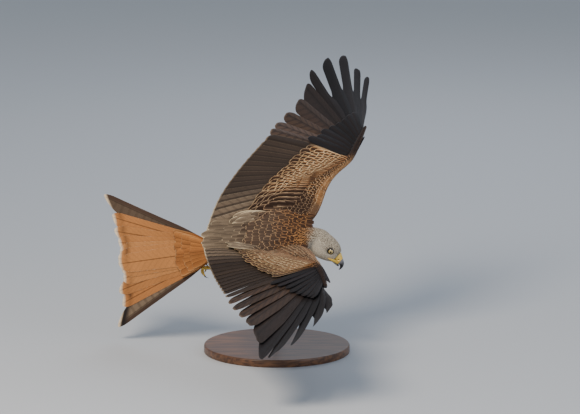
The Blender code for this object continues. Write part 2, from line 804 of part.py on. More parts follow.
class Wing:
    """The measures of one wing."""

    def __init__(self, side):
        left = side < 0
        inner_rear = trunk_point(140.0, 20.0 * side, 18.0)
        inner_front = trunk_point(210.0, 14.0 * side, 14.0)
        shoulder_rear = trunk_point(138.0, 66.0 * side, 34.0)
        shoulder_front = seen(LEFT_SHOULDER_FRONT if left else RIGHT_SHOULDER_FRONT)
        marks = (
            (LEFT_ELBOW, LEFT_WRIST_REAR, LEFT_HAND_REAR, LEFT_FINGER_REAR),
            (RIGHT_ELBOW, RIGHT_WRIST_REAR, RIGHT_HAND_REAR, RIGHT_FINGER_REAR),
        )[not left]
        elbow, wrist, hand, finger = (seen(m) for m in marks)
        marks = (
            (LEFT_ELBOW_FRONT, LEFT_FOREARM_FRONT, LEFT_WRIST_FRONT, LEFT_HAND_FRONT, LEFT_FINGER_FRONT),
            (RIGHT_ELBOW_FRONT, RIGHT_FOREARM_FRONT, RIGHT_WRIST_FRONT, RIGHT_HAND_FRONT, RIGHT_FINGER_FRONT),
        )[not left]
        elbow_front, forearm_front, wrist_front, hand_front, finger_front = (seen(m) for m in marks)
        forearm = elbow * 0.5 + wrist * 0.5
        self.rears = (inner_rear, shoulder_rear, elbow, forearm, wrist, hand, finger)
        self.fronts = (
            inner_front,
            shoulder_front,
            elbow_front,
            forearm_front,
            wrist_front,
            hand_front,
            finger_front,
        )
        self.sheet = self.feather_sheet(side, shoulder_rear, elbow)

    def feather_sheet(self, side, shoulder_rear, elbow):
        left = side < 0
        primary_ends = [seen(p) for p in (LEFT_PRIMARY_ENDS if left else RIGHT_PRIMARY_ENDS)]
        outer, middle, inner = (seen(p) for p in (LEFT_SECONDARY_ENDS if left else RIGHT_SECONDARY_ENDS))
        roots, ends = [], []
        for i in range(TERTIALS):
            share = (i + 0.5) / TERTIALS
            roots.append(shoulder_rear + (elbow - shoulder_rear) * (0.35 + 0.65 * share))
            innermost = trunk_point(-14.0, 30.0 * side, 47.0)
            ends.append(innermost + (inner - innermost) * share)
        wrist = self.rears[4]
        for i in range(SECONDARIES):
            share = (i + 0.2) / SECONDARIES
            roots.append(elbow + (wrist - elbow) * share)
            ends.append(between((inner, middle, outer), (i + 0.9) / SECONDARIES))
        for i in range(PRIMARIES):
            share = (i + 0.8) / (PRIMARIES + 0.4)
            roots.append(between(self.rears[4:], share))
            ends.append(primary_ends[i])
        arm = TERTIALS + SECONDARIES
        roots = soften(roots, len(roots))
        ends = soften(ends, arm)
        bow = np.interp(np.arange(len(roots)), (0, arm, len(roots) - 1), (8.0, 4.0, -12.0))
        return Sheet(roots, ends, bow, WING_TILT)

    def flesh(self, place):
        """The rear and the front of the flesh where a feather roots, and its height there."""
        marks = np.interp(place, WING_PLACES, np.arange(1.0, 7.0)) / 6.0
        height = float(between([(h,) for h in WING_HEIGHTS], marks)[0])
        return between(self.rears, marks), between(self.fronts, marks), height


def flight_feathers(wing, first, last):
    """The long feathers of the arm or the hand, each rooted in the flesh."""
    sheet = wing.sheet
    vanes = []
    for place in range(first, last):
        rank = place - TERTIALS - SECONDARIES
        full = PRIMARY_WIDTHS[rank] if rank >= 0 else SECONDARY_WIDTH
        widths = (full * 0.36, full * 0.64) if rank < 5 else (full * 0.27, full * 0.73)
        outline = FLIGHT_OUTLINE if rank < 5 else FINGER_OUTLINE
        start = -ROOT_DEPTH / sheet.length(place)
        vanes.append(vane(sheet, place, start, 1.0, (0.0, 0.0), widths, outline))
    return vanes


def coverts(wing, places, tier):
    """A tier of coverts that lies over the long feathers and comes out of the flesh."""
    root_share, root_lift, end_lift, reach, full = tier
    roots, ends = [], []
    for place in places:
        rear, front, height = wing.flesh(place)
        up = wing.sheet.normal(place, 0.0)
        roots.append(rear + (front - rear) * root_share + up * root_lift * height)
        ends.append(wing.sheet.point(place, reach / wing.sheet.length(place), end_lift))
    count = len(roots)
    sheet = Sheet(soften(roots, count), soften(ends, count), np.zeros(count), WING_TILT)
    widths = (full * 0.4, full * 0.6)
    return [vane(sheet, i, 0.0, 1.0, (0.0, 0.0), widths, COVERT_OUTLINE) for i in range(count)]


def alula(wing, end):
    """Three small feathers on the thumb, along the front of the hand."""
    wrist, hand = wing.fronts[4], wing.fronts[5]
    along = unit(hand - wrist)
    rearward = unit(wing.rears[5] - hand)
    up = wing.sheet.normal(TERTIALS + SECONDARIES + 3.0, 0.0)
    roots, ends = [], []
    for i in range(ALULA_FEATHERS):
        roots.append(wrist + along * 10.0 + rearward * (7.5 - 3.0 * i) + up * 3.5)
        ends.append(seen(end) + rearward * (9.0 - 5.5 * i) - along * 9.0 * (2 - i) + up * 5.5)
    sheet = Sheet(roots, ends, np.zeros(len(roots)), ALULA_TILT)
    widths = (4.5, 8.0)
    return [vane(sheet, i, -0.1, 1.0, (0.0, 0.0), widths, COVERT_OUTLINE) for i in range(len(roots))]


def make_wing(name, side):
    wing = Wing(side)
    arm_shares = np.linspace(0.0, WRIST_SHARE, 13)
    hand_shares = np.linspace(WRIST_SHARE, 1.0, 8)
    arm_rings = wing_rings(wing.rears, wing.fronts, WING_HEIGHTS, arm_shares)
    hand_rings = wing_rings(wing.rears, wing.fronts, WING_HEIGHTS, hand_shares)
    # The hand starts from the arm's last section, a gap further out
    face = unit(np.cross(arm_rings[-1][3] - arm_rings[-1][0], arm_rings[-1][9] - arm_rings[-1][0]))
    outward = np.mean(hand_rings[1], axis=0) - np.mean(arm_rings[-1], axis=0)
    face = face if face @ outward > 0.0 else -face
    hand_rings[0] = arm_rings[-1] + face * GAP
    arm = new_object(name + "_arm", *loft(arm_rings), "wing_coverts")
    hand = new_object(name + "_hand", *loft(hand_rings), "flight_feathers")
    inner = TERTIALS + SECONDARIES
    arm_vanes = flight_feathers(wing, 0, inner)
    arm_vanes += coverts(wing, np.linspace(0.0, inner - 1.4, inner), GREATER_COVERTS)
    arm_vanes += coverts(wing, np.linspace(0.5, inner - 1.8, inner - 1), MEDIAN_COVERTS)
    fuse(arm, arm_vanes + scapulars(side))
    hand_vanes = flight_feathers(wing, inner, inner + PRIMARIES)
    hand_vanes += coverts(wing, np.linspace(inner + 0.4, inner + 7.0, PRIMARIES - 2), PRIMARY_COVERTS)
    hand_vanes += alula(wing, LEFT_ALULA_END if side < 0 else RIGHT_ALULA_END)
    fuse(hand, hand_vanes)
    carve(arm, [trunk_cutter(), neck_cutter()])


# Tail


def tail_sheet():
    roots, ends = [], []
    for i in range(2 * TAIL_PAIRS):
        step = i - (TAIL_PAIRS - 0.5)
        share = abs(step) / (TAIL_PAIRS - 0.5)
        spread = TAIL_RIGHT_SPREAD if step > 0 else TAIL_LEFT_SPREAD
        angle = math.copysign(spread * (0.5 * share**1.9 + 0.5 * share), step)
        length = TAIL_LENGTHS[int(abs(step))]
        root = TAIL_BASE + TAIL_BACKWARD * 14.0 - TAIL_LEFT * step * 3.4
        way = TAIL_BACKWARD * math.cos(angle) - TAIL_LEFT * math.sin(angle)
        roots.append(root)
        ends.append(TAIL_BASE + way * length)
    return Sheet(roots, ends, np.full(len(roots), 5.0), 0.0)


def tail_core_rings():
    """The rump's end, which turns from the trunk's roundness to the flat root of the fan."""
    start = oval(TAIL_BASE - FORWARD * GAP, BACK, RIGHT, *TRUNK_RINGS[0][1:])
    rings = [start]
    for back, high, wide in ((16.0, 13.5, 26.0), (34.0, 10.0, 28.0), (50.0, 7.0, 27.0)):
        centre = TAIL_BASE + TAIL_BACKWARD * back
        turn = np.linspace(0.0, 2.0 * math.pi, BODY_SIDES, endpoint=False)[:, None]
        share = min(back / 34.0, 1.0)
        up = unit(BACK * (1.0 - share) + TAIL_TOP * share)
        side = unit(RIGHT * (1.0 - share) - TAIL_LEFT * share)
        rings.append(centre + up * np.sin(turn) * high + side * np.cos(turn) * wide)
    return rings


def tail_stack(count):
    """The order of feathers from the top: the middle pair first, right before left."""
    steps = [i - (count - 1) / 2.0 for i in range(count)]
    order = sorted(range(count), key=lambda i: (abs(steps[i]), -steps[i]))
    return {place: rank for rank, place in enumerate(order)}


def tail_coverts(top):
    """Short feathers over or under the roots of the tail."""
    first, step, reach = UPPER_TAIL_COVERTS if top else UNDER_TAIL_COVERTS
    sheet = tail_sheet()
    places = np.linspace(1.6, 2 * TAIL_PAIRS - 2.6, TAIL_COVERT_COUNT)
    vanes = []
    for i, rank in tail_stack(TAIL_COVERT_COUNT).items():
        length = sheet.length(places[i])
        lift = first - step * (TAIL_COVERT_COUNT - 1 - rank if top else rank)
        end = reach * (1.0 - 0.03 * rank) / length
        vanes.append(vane(sheet, places[i], -6.0 / length, end, (lift, lift), (17.0, 17.0), COVERT_OUTLINE))
    return vanes


def make_tail():
    tail = new_object("tail", *loft(tail_core_rings()), "tail_feathers")
    sheet = tail_sheet()
    vanes = []
    for place, rank in tail_stack(2 * TAIL_PAIRS).items():
        step = place - (TAIL_PAIRS - 0.5)
        outer = TAIL_WIDTH * (0.5 - 0.042 * abs(step))
        widths = (outer, TAIL_WIDTH - outer) if step > 0 else (TAIL_WIDTH - outer, outer)
        lift = TAIL_STACK_TOP - TAIL_STACK_STEP * rank
        vanes.append(vane(sheet, place, -8.0 / sheet.length(place), 1.0, (lift, lift), widths, FLIGHT_OUTLINE))
    vanes += tail_coverts(True) + tail_coverts(False)
    fuse(tail, vanes)


# Legs and feet


def limb_point(mark, side):
    return trunk_point(mark[0], mark[1] * side, mark[2])


def make_leg(name, side):
    path = [limb_point(mark, side) for mark in (HIP, KNEE, HEEL)]
    shares = np.linspace(0.0, 1.0, 7)
    points = [between(path, s) for s in shares]
    radii = [float(between([(r,) for r in THIGH_RADII], s)[0]) for s in shares]
    leg = new_object("leg_" + name, *tube(points, radii, 16), "thigh_feathers")
    carve(leg, [trunk_cutter()])


# Each toe: the way it leaves the foot forward, sideways and up, its length and its claw's length
TOES = (
    ("inner", (-0.50, -0.50, -0.70), 20.0, 16.0),
    ("middle", (-0.75, 0.00, -0.66), 27.0, 14.0),
    ("outer", (-0.50, 0.50, -0.70), 20.0, 13.0),
    ("hind", (0.62, -0.10, -0.78), 13.0, 17.0),
)


def make_foot(name, side):
    heel, end = limb_point(HEEL, side), limb_point(TARSUS_END, side)
    way = unit(end - heel)
    path = [heel + way * GAP * 3.0, heel * 0.5 + end * 0.5, end]
    foot = new_object("foot_" + name, *tube(path, (5.0, TARSUS_RADIUS, 5.0), 10), "yellow_skin")
    pieces = []
    for toe, lean, length, claw in TOES:
        out = unit(FORWARD * lean[0] + RIGHT * side * lean[1] + BACK * lean[2])
        curl = unit(FORWARD * 0.9 - BACK * 0.3) if toe != "hind" else unit(-FORWARD * 0.9 - BACK * 0.2)
        start = end - way * 5.0
        turns = np.linspace(0.0, 1.0, 5)
        line = [start + out * length * 1.15 * t + curl * length * 0.55 * t * t for t in turns]
        radii = np.linspace(TOE_RADIUS, TOE_RADIUS * 0.72, 5)
        pieces.append(new_object("toe", *tube(line, radii, 8), "yellow_skin"))
        tip_way = unit(line[-1] - line[-2])
        root = line[-1] + tip_way * GAP * 2.0
        bend = unit(curl - tip_way * (curl @ tip_way))
        steps = np.linspace(0.0, 1.0, 6)
        hook = [root + tip_way * claw * 0.75 * s + bend * claw * 0.55 * s * s for s in steps]
        hook[0] = root
        sizes = np.linspace(TOE_RADIUS * 0.62, 0.25, 6)
        side_axis = np.cross(tip_way, bend)
        rings = []
        ahead = np.gradient(np.array(hook), axis=0)
        for centre, direction, radius in zip(hook, ahead, sizes):
            direction = unit(direction) if radius < sizes[0] else tip_way
            rings.append(oval(centre, np.cross(direction, side_axis), side_axis, radius, radius, radius * 0.8, 8))
        new_object(f"claw_{name}_{toe}", *loft(rings), "dark_horn")
    fuse(foot, pieces)


# Stand


def disc(height, radius, count=48):
    turn = np.linspace(0.0, 2.0 * math.pi, count, endpoint=False)
    level = np.full(count, height)
    return np.column_stack((np.cos(turn) * radius, np.sin(turn) * radius, level)) / 1000.0


def rod_rings(radius, low, high):
    return disc(low, radius, 24), disc(high, radius, 24)


def make_stand():
    rings = (
        disc(0.0, BASE_RADIUS),
        disc(BASE_THICKNESS - BASE_EDGE, BASE_RADIUS),
        disc(BASE_THICKNESS - BASE_EDGE * 0.3, BASE_RADIUS - BASE_EDGE * 0.3),
        disc(BASE_THICKNESS, BASE_RADIUS - BASE_EDGE),
    )
    new_object("stand_base", *loft(rings), "walnut", in_world=True)
    top = to_world(ROD_TOP)[0][2] * 1000.0 - 25.0
    rod = rod_rings(ROD_RADIUS, BASE_THICKNESS + GAP, top)
    new_object("stand_rod", *loft(rod), "steel", in_world=True)
    hole = rod_rings(ROD_RADIUS + GAP, BASE_THICKNESS, top + GAP)
    return new_object("rod_hole", *loft(hole), "steel", in_world=True)


def build():
    clear_scene()
    torso = make_trunk()
    carve(torso, [make_stand()])
    new_object("neck", *loft(neck_rings()), "neck_feathers")
    make_head()
    make_bill()
    make_wing("wing_left", -1)
    make_wing("wing_right", 1)
    make_tail()
    for name, side in (("left", -1), ("right", 1)):
        make_leg(name, side)
        make_foot(name, side)


build()
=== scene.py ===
# Red kite in banking flight, life size, on a plain display stand: skin, plumage, bill, eyes and stand.
import functools
import math

import bmesh
import bpy
import numpy as np
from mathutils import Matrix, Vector


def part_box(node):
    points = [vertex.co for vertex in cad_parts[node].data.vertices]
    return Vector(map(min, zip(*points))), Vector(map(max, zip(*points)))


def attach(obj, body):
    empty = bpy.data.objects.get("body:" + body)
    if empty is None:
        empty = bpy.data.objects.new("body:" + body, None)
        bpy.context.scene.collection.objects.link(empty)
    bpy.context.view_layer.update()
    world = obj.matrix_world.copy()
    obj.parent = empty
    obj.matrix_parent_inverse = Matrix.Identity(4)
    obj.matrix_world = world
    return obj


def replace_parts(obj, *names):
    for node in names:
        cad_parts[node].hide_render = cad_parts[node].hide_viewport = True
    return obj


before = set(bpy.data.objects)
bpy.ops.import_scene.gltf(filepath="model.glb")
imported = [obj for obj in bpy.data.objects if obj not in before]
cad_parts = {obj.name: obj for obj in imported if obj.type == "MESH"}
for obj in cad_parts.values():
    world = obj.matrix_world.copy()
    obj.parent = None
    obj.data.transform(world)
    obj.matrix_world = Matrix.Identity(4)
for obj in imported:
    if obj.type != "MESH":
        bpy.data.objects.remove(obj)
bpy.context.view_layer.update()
print("frame loaded")

# How the photograph sees the bird: x right, y up, z towards the eye, in mm from the picture's centre
photo = {
    "centre": (290.0, 207.0),
    "mmPerPixel": 2.6,
    "eyeDistance": 20000.0,
    "elevation": math.radians(12.0),
    "centreHeight": 384.0,
    "rodAlongTrunk": 168.0,
}


def seen(point):
    # a pixel with its depth becomes a place in mm, drawn in a little as it comes nearer
    shrink = photo["mmPerPixel"] * (1.0 - point[2] / photo["eyeDistance"])
    across = (point[0] - photo["centre"][0]) * shrink
    return np.array((across, (photo["centre"][1] - point[1]) * shrink, point[2]))


def inPicture(points):
    # the pixel that a place in mm falls on
    scale = photo["mmPerPixel"] * (1.0 - points[..., 2] / photo["eyeDistance"])
    return photo["centre"][0] + points[..., 0] / scale, photo["centre"][1] - points[..., 1] / scale


def unit(vectors):
    return vectors / np.maximum(np.linalg.norm(vectors, axis=-1, keepdims=True), 1e-9)


def dot(a, b):
    return np.sum(a * b, axis=-1, keepdims=True)


# The bird's build, as the solids have it
body = {
    "tailRoot": (215.0, 250.0, -62.0),
    "neckRoot": (300.0, 243.0, 0.0),
    "pitch": math.radians(10.0),
    "bank": math.radians(40.0),
    # share along the trunk, then radius up, down and sideways
    "trunk": (
        (0.00, 15.0, 15.0, 22.0),
        (0.10, 20.0, 22.0, 28.0),
        (0.25, 30.0, 36.0, 38.0),
        (0.45, 38.0, 53.0, 49.0),
        (0.65, 42.0, 60.0, 55.0),
        (0.82, 42.0, 54.0, 52.0),
        (0.94, 43.0, 46.0, 47.0),
        (1.00, 43.0, 43.0, 45.0),
    ),
    "headCentre": (327.2, 246.6, 16.0),
    "headSlope": math.radians(42.0),
    "headTilt": math.radians(25.0),
    # distance forward of the head's centre, then radius up, down and sideways
    "head": (
        (-28.0, 29.0, 45.0, 28.0),
        (-15.0, 29.5, 43.0, 28.0),
        (0.0, 30.0, 40.0, 27.5),
        (12.0, 29.0, 36.0, 25.0),
        (24.0, 25.5, 30.5, 20.5),
        (33.0, 19.5, 25.0, 14.5),
        (38.0, 13.5, 22.0, 10.0),
    ),
    # distance back from the tail's root, then half height and half width of the rump's end
    "rump": ((50.0, 7.0, 27.0), (34.0, 10.0, 28.0), (16.0, 13.5, 26.0)),
    "skinDepth": 2.6,
    "sides": 24,
}
tail = {
    "heading": math.radians(186.8),
    "slope": math.radians(24.0),
    "leftSpread": math.radians(30.0),
    "rightSpread": math.radians(28.5),
    "lengths": (283.0, 281.0, 284.0, 297.0, 308.0, 348.0),
    "widths": (45.0, 46.0, 46.0, 47.0, 47.0, 42.0),
    "stackTop": 5.2,
    "stackStep": 0.95,
}

tailBase = seen(body["tailRoot"])
neckBase = seen(body["neckRoot"])
forward = unit(neckBase - tailBase)
backWay = np.array((-math.sin(body["pitch"]), 0.0, math.cos(body["pitch"]))) * math.cos(body["bank"])
backWay = backWay + np.array((0.0, math.sin(body["bank"]), 0.0))
backWay = unit(backWay - forward * (backWay @ forward))
rightWay = np.cross(forward, backWay)
headForward = np.array((math.cos(body["headSlope"]), -math.sin(body["headSlope"]), 0.0))
headUp = np.array((math.sin(body["headSlope"]), math.cos(body["headSlope"]), 0.0))
headUp = headUp * math.cos(body["headTilt"]) + np.array((0.0, 0.0, math.sin(body["headTilt"])))
headRight = np.cross(headForward, headUp)
tailBack = np.array((math.cos(tail["heading"]) * math.cos(tail["slope"]),
                     math.sin(tail["heading"]) * math.cos(tail["slope"]), -math.sin(tail["slope"])))
tailLeft = np.array((math.sin(tail["heading"]), -math.cos(tail["heading"]), 0.0))
tailTop = unit(np.cross(tailLeft, tailBack))


def trunkPoint(along, right, up):
    return tailBase + forward * along + rightWay * right + backWay * up


def headPoint(along, up, right):
    return seen(body["headCentre"]) + headForward * along + headUp * up + headRight * right


rodTop = trunkPoint(photo["rodAlongTrunk"], 0.0, 0.0)


def toWorld(points):
    # turns the photograph's frame up by the eye's elevation and sets the rod over the origin
    sine, cosine = math.sin(photo["elevation"]), math.cos(photo["elevation"])
    rodDepth = rodTop[1] * sine - rodTop[2] * cosine
    across = points[..., 0] - rodTop[0]
    depth = points[..., 1] * sine - points[..., 2] * cosine - rodDepth
    height = points[..., 1] * cosine + points[..., 2] * sine + photo["centreHeight"]
    return np.stack((across, depth, height), axis=-1) / 1000.0


# Smooth reading of lines and of ringed surfaces


def cubic(a, b, c, d, t):
    # the Catmull-Rom curve through b and c
    return 0.5 * (2 * b + (c - a) * t + (2 * a - 5 * b + 4 * c - d) * t**2 + (3 * b - a - 3 * c + d) * t**3)


def readLine(values, place):
    # a smooth line through the values, read at any places and carried straight on past its ends
    values = np.asarray(values, float)
    place = np.asarray(place, float)
    last = len(values) - 1
    padded = np.concatenate(([2 * values[0] - values[1]], values, [2 * values[-1] - values[-2]]))
    inside = np.clip(place, 0.0, last)
    i = np.minimum(inside.astype(int), last - 1)
    t = (inside - i)[..., None]
    found = cubic(padded[i], padded[i + 1], padded[i + 2], padded[i + 3], t)
    before = np.minimum(place, 0.0)[..., None] * (values[1] - values[0])
    after = np.maximum(place - last, 0.0)[..., None] * (values[-1] - values[-2])
    return found + before + after


def surfaceAt(grid, s, q):
    # a closed ringed surface read between its rings (s) and round them (q), smooth both ways
    rings, sides = grid.shape[:2]
    padded = np.concatenate(([2 * grid[0] - grid[1]], grid, [2 * grid[-1] - grid[-2]]))
    inside = np.clip(s, 0.0, rings - 1.0)
    i = np.minimum(inside.astype(int), rings - 2)
    t = (inside - i)[..., None]
    base = np.floor(q).astype(int)
    w = (q - base)[..., None]
    rows = []
    for k in range(4):
        a, b, c, d = (padded[i + k, (base + step) % sides] for step in (-1, 0, 1, 2))
        rows.append(cubic(a, b, c, d, w))
    found = cubic(*rows, t)
    beyond = (s - inside)[..., None]
    return found + beyond * (rows[2] - rows[1])


def frameAt(grid, s, q):
    # the place, the two ways along the surface and the way out of it
    step = 0.05
    place = surfaceAt(grid, s, q)
    alongWay = (surfaceAt(grid, s + step, q) - surfaceAt(grid, s - step, q)) / (2 * step)
    roundWay = (surfaceAt(grid, s, q + step) - surfaceAt(grid, s, q - step)) / (2 * step)
    out = unit(np.cross(roundWay, alongWay))
    middle = grid.mean(axis=1)
    inner = readLine(middle, np.clip(s, 0, len(grid) - 1))
    out = out * np.where(dot(out, place - inner) < 0.0, -1.0, 1.0)
    return place, alongWay, roundWay, out


def oval(centre, upWay, sideWay, up, down, side, count=24):
    # a ring whose upper and lower halves have their own height
    turn = np.linspace(0.0, 2 * math.pi, count, endpoint=False)[:, None]
    reach = np.where(np.sin(turn) > 0.0, up, down)
    return centre + upWay * np.sin(turn) * reach + sideWay * np.cos(turn) * side


def bodyGrid():
    # rings from the end of the rump over the trunk and the neck to the face
    rings = []
    for back, high, wide in body["rump"]:
        share = min(back / 34.0, 1.0)
        up = unit(backWay * (1.0 - share) + tailTop * share)
        side = unit(rightWay * (1.0 - share) - tailLeft * share)
        rings.append(oval(tailBase + tailBack * back, up, side, high, high, wide))
    reach = np.linalg.norm(neckBase - tailBase)
    for share, up, down, side in body["trunk"]:
        rings.append(oval(tailBase + forward * reach * share, backWay, rightWay, up, down, side))
    start = rings[-1]
    headRings = [oval(headPoint(ahead, 0, 0), headUp, headRight, up, down, side)
                 for ahead, up, down, side in body["head"]]
    gap = np.linalg.norm(headPoint(body["head"][0][0], 0, 0) - neckBase)
    for t in (0.2, 0.4, 0.6, 0.8):
        ease = t * t * (3.0 - 2.0 * t)
        bulge = t * (1.0 - t) ** 2 * gap * forward - t * t * (1.0 - t) * gap * headForward
        rings.append(start * (1.0 - ease) + headRings[0] * ease + bulge)
    return np.array(rings + headRings)


bodyRings = bodyGrid()


# Wings: points in the picture with their depth, and the sheet that the feathers' shafts make

leftWing = {
    "side": -1.0,
    "shoulder": (315.5, 217.0, -12.0),
    "rear": ((299.6, 184.3, -28.0), (345.0, 157.8, -38.0), (355.0, 141.5, -68.0), (363.5, 127.5, -104.0)),
    "front": ((328.0, 188.0, -14.0), (337.0, 175.0, -20.0), (353.0, 160.0, -32.0),
              (361.5, 142.0, -66.0), (367.5, 126.0, -106.0)),
    "primaries": ((271.0, 130.0, -140.0), (276.0, 124.0, -180.0), (285.7, 114.0, -225.0),
                  (298.0, 101.0, -275.0),
                  (305.8, 87.1, -330.0), (310.7, 70.6, -380.0), (327.3, 58.1, -410.0),
                  (344.9, 55.7, -419.0),
                  (359.2, 70.1, -384.0), (368.5, 77.4, -372.0)),
    "secondaries": ((266.5, 138.0, -105.0), (238.0, 170.0, -80.0), (213.0, 205.6, -62.0)),
    "alula": (363.5, 138.5, -86.0),
    "primaryWidths": (42.0, 42.0, 43.0, 44.0, 45.0, 47.0, 50.0, 42.0, 31.0, 26.0),
    "secondaryWidth": 43.0,
    "notch": 0.44,
    # the line in the picture where the dark mantle meets the tawny coverts
    "mantleLine": ((205.0, 241.0, 262.0, 285.0, 300.0, 312.0, 322.0, 335.0),
                   (205.0, 197.0, 195.0, 190.0, 188.0, 196.0, 208.0, 215.0)),
    "mantleBelow": 1.0,
    "seed": 11,
}
rightWing = {
    "side": 1.0,
    "shoulder": (308.0, 249.5, 52.0),
    "rear": ((273.8, 260.0, 154.0), (312.8, 268.0, 240.0), (318.5, 277.0, 272.0), (323.5, 288.0, 305.0)),
    "front": ((314.0, 254.5, 128.0), (318.0, 261.0, 190.0), (321.5, 265.5, 237.0),
              (325.8, 277.0, 272.0), (328.0, 287.5, 308.0)),
    "primaries": ((228.9, 303.6, 287.0), (233.6, 309.7, 335.0), (240.7, 317.1, 393.0),
                  (248.3, 324.5, 456.0),
                  (255.8, 337.1, 524.0), (260.8, 359.2, 624.0), (277.6, 351.3, 640.0),
                  (296.9, 340.7, 652.0),
                  (319.7, 319.1, 648.0), (330.7, 308.0, 624.0)),
    "secondaries": ((225.8, 297.0, 242.0), (214.5, 279.0, 130.0), (204.0, 254.0, 32.0)),
    "alula": (328.8, 284.5, 298.0),
    "primaryWidths": (64.0, 70.0, 75.0, 79.0, 80.0, 74.0, 66.0, 54.0, 38.0, 30.0),
    "secondaryWidth": 47.0,
    "notch": 0.18,
    "mantleLine": ((200.0, 229.0, 250.0, 275.0, 292.0, 306.0, 316.0, 330.0),
                   (246.0, 244.0, 239.0, 237.0, 241.0, 248.0, 256.0, 262.0)),
    "mantleBelow": -1.0,
    "seed": 23,
}
flight = {
    "tertials": 3,
    "secondaries": 12,
    "primaries": 10,
    "tilt": math.radians(9.0),
    "soften": 5,
    # section of the flesh: distance forward of the feather roots, then height
    "section": ((-6.0, 1.7), (2.0, 4.2), (16.0, 8.8), (34.0, 13.5), (52.0, 14.0), (66.0, 9.0), (74.0, 1.0),
                (66.0, -5.0), (50.0, -7.0), (30.0, -6.6), (12.0, -5.2), (0.0, -3.4), (-6.0, -1.7)),
    "heights": (1.25, 1.25, 1.10, 1.0, 0.85, 0.72, 0.45),
}
armCount = flight["tertials"] + flight["secondaries"]
feathersOfWing = armCount + flight["primaries"]


def soften(marks, count):
    # rounds the bends of a line of marks by repeated means of neighbours, and leaves those from count on
    marks = np.array(marks)
    for _ in range(flight["soften"]):
        inner = (marks[:-2] + 2.0 * marks[1:-1] + marks[2:]) / 4.0
        marks[1:count - 1] = inner[:count - 2]
    return marks


class Sheet:
    # A ruled surface through shafts side by side. It bows between roots and ends, and a vane's
    # outer edge stands above it and its inner edge below, in step with the distance from the shaft.

    def __init__(self, roots, ends, bow, tilt):
        self.roots, self.ends, self.bow = np.asarray(roots), np.asarray(ends), np.asarray(bow)[:, None]
        self.rise = math.tan(tilt)
        self.facing = 1.0
        if self.normal(np.array((len(roots) - 1) / 2.0), np.array(0.3)) @ backWay < 0.0:
            self.facing = -1.0

    def length(self, place):
        return np.linalg.norm(readLine(self.ends, place) - readLine(self.roots, place), axis=-1)

    def flat(self, place, share):
        root = readLine(self.roots, place)
        return root + (readLine(self.ends, place) - root) * np.asarray(share)[..., None]

    def normal(self, place, share):
        share = np.maximum(share, 0.3)
        ahead = self.flat(place, share + 0.05) - self.flat(place, share - 0.05)
        side = self.flat(place + 1.0, share) - self.flat(place - 1.0, share)
        return unit(np.cross(ahead, side)) * self.facing

    def point(self, place, share, height):
        arch = np.where((share > 0.0) & (share < 1.0), 4.0 * share * (1.0 - share), 0.0)[..., None]
        bend = readLine(self.bow, place) * arch
        middle = self.normal(place, np.full_like(share, 0.5))
        return self.flat(place, share) + middle * bend + self.normal(place, share) * height[..., None]

    def spacing(self, place, share):
        ahead = unit(self.flat(place, share + 0.05) - self.flat(place, share - 0.05))
        side = self.flat(place + 0.5, share) - self.flat(place - 0.5, share)
        return np.linalg.norm(side - ahead * dot(side, ahead), axis=-1)


def wingMarks(wing):
    side = wing["side"]
    elbow, wrist, hand, finger = (seen(m) for m in wing["rear"])
    fronts = [trunkPoint(210.0, 14.0 * side, 14.0), seen(wing["shoulder"])]
    fronts += [seen(m) for m in wing["front"]]
    rears = [trunkPoint(140.0, 20.0 * side, 18.0), trunkPoint(138.0, 66.0 * side, 34.0)]
    rears += [elbow, (elbow + wrist) / 2.0, wrist, hand, finger]
    return np.array(rears), np.array(fronts)


def wingGrid(wing, count=37):
    # sections from the shoulder to the end of the hand, each square to the flesh's own run
    rears, fronts = wingMarks(wing)
    place = np.linspace(0.0, 6.0, count)
    rear, front = readLine(rears, place), readLine(fronts, place)
    ahead, behind = np.minimum(place + 0.12, 6.0), np.maximum(place - 0.12, 0.0)
    span = readLine(rears, ahead) + readLine(fronts, ahead)
    span = span - readLine(rears, behind) - readLine(fronts, behind)
    chord = front - rear
    up = unit(np.cross(span, chord))
    up = up * np.where(up @ backWay < 0.0, -1.0, 1.0)[:, None]
    section = np.array(flight["section"])
    scale = np.linalg.norm(chord, axis=1)[:, None] / section[:, 0].max()
    reach = np.where(section[:, 0] > 0.0, section[:, 0] * scale, section[:, 0])
    height = readLine(np.array(flight["heights"])[:, None], place) * section[:, 1]
    return rear[:, None] + unit(chord)[:, None] * reach[..., None] + up[:, None] * height[..., None]


def wingSheet(wing):
    side = wing["side"]
    rears, _ = wingMarks(wing)
    shoulder, elbow, wrist = rears[1], rears[2], rears[4]
    outer, middle, inner = (seen(p) for p in wing["secondaries"])
    share = (np.arange(flight["tertials"]) + 0.5)[:, None] / flight["tertials"]
    innermost = trunkPoint(-14.0, 30.0 * side, 47.0)
    roots = [shoulder + (elbow - shoulder) * (0.35 + 0.65 * share)]
    ends = [innermost + (inner - innermost) * share]
    index = np.arange(flight["secondaries"])
    roots.append(elbow + (wrist - elbow) * ((index + 0.2) / flight["secondaries"])[:, None])
    ends.append(readLine((inner, middle, outer), (index + 0.9) / flight["secondaries"] * 2.0))
    index = np.arange(flight["primaries"])
    roots.append(readLine(rears[4:], (index + 0.8) / (flight["primaries"] + 0.4) * 2.0))
    ends.append(np.array([seen(p) for p in wing["primaries"]]))
    roots = soften(np.concatenate(roots), feathersOfWing)
    ends = soften(np.concatenate(ends), armCount)
    bow = np.interp(np.arange(feathersOfWing), (0, armCount, feathersOfWing - 1), (8.0, 4.0, -12.0))
    return Sheet(roots, ends, bow, flight["tilt"])


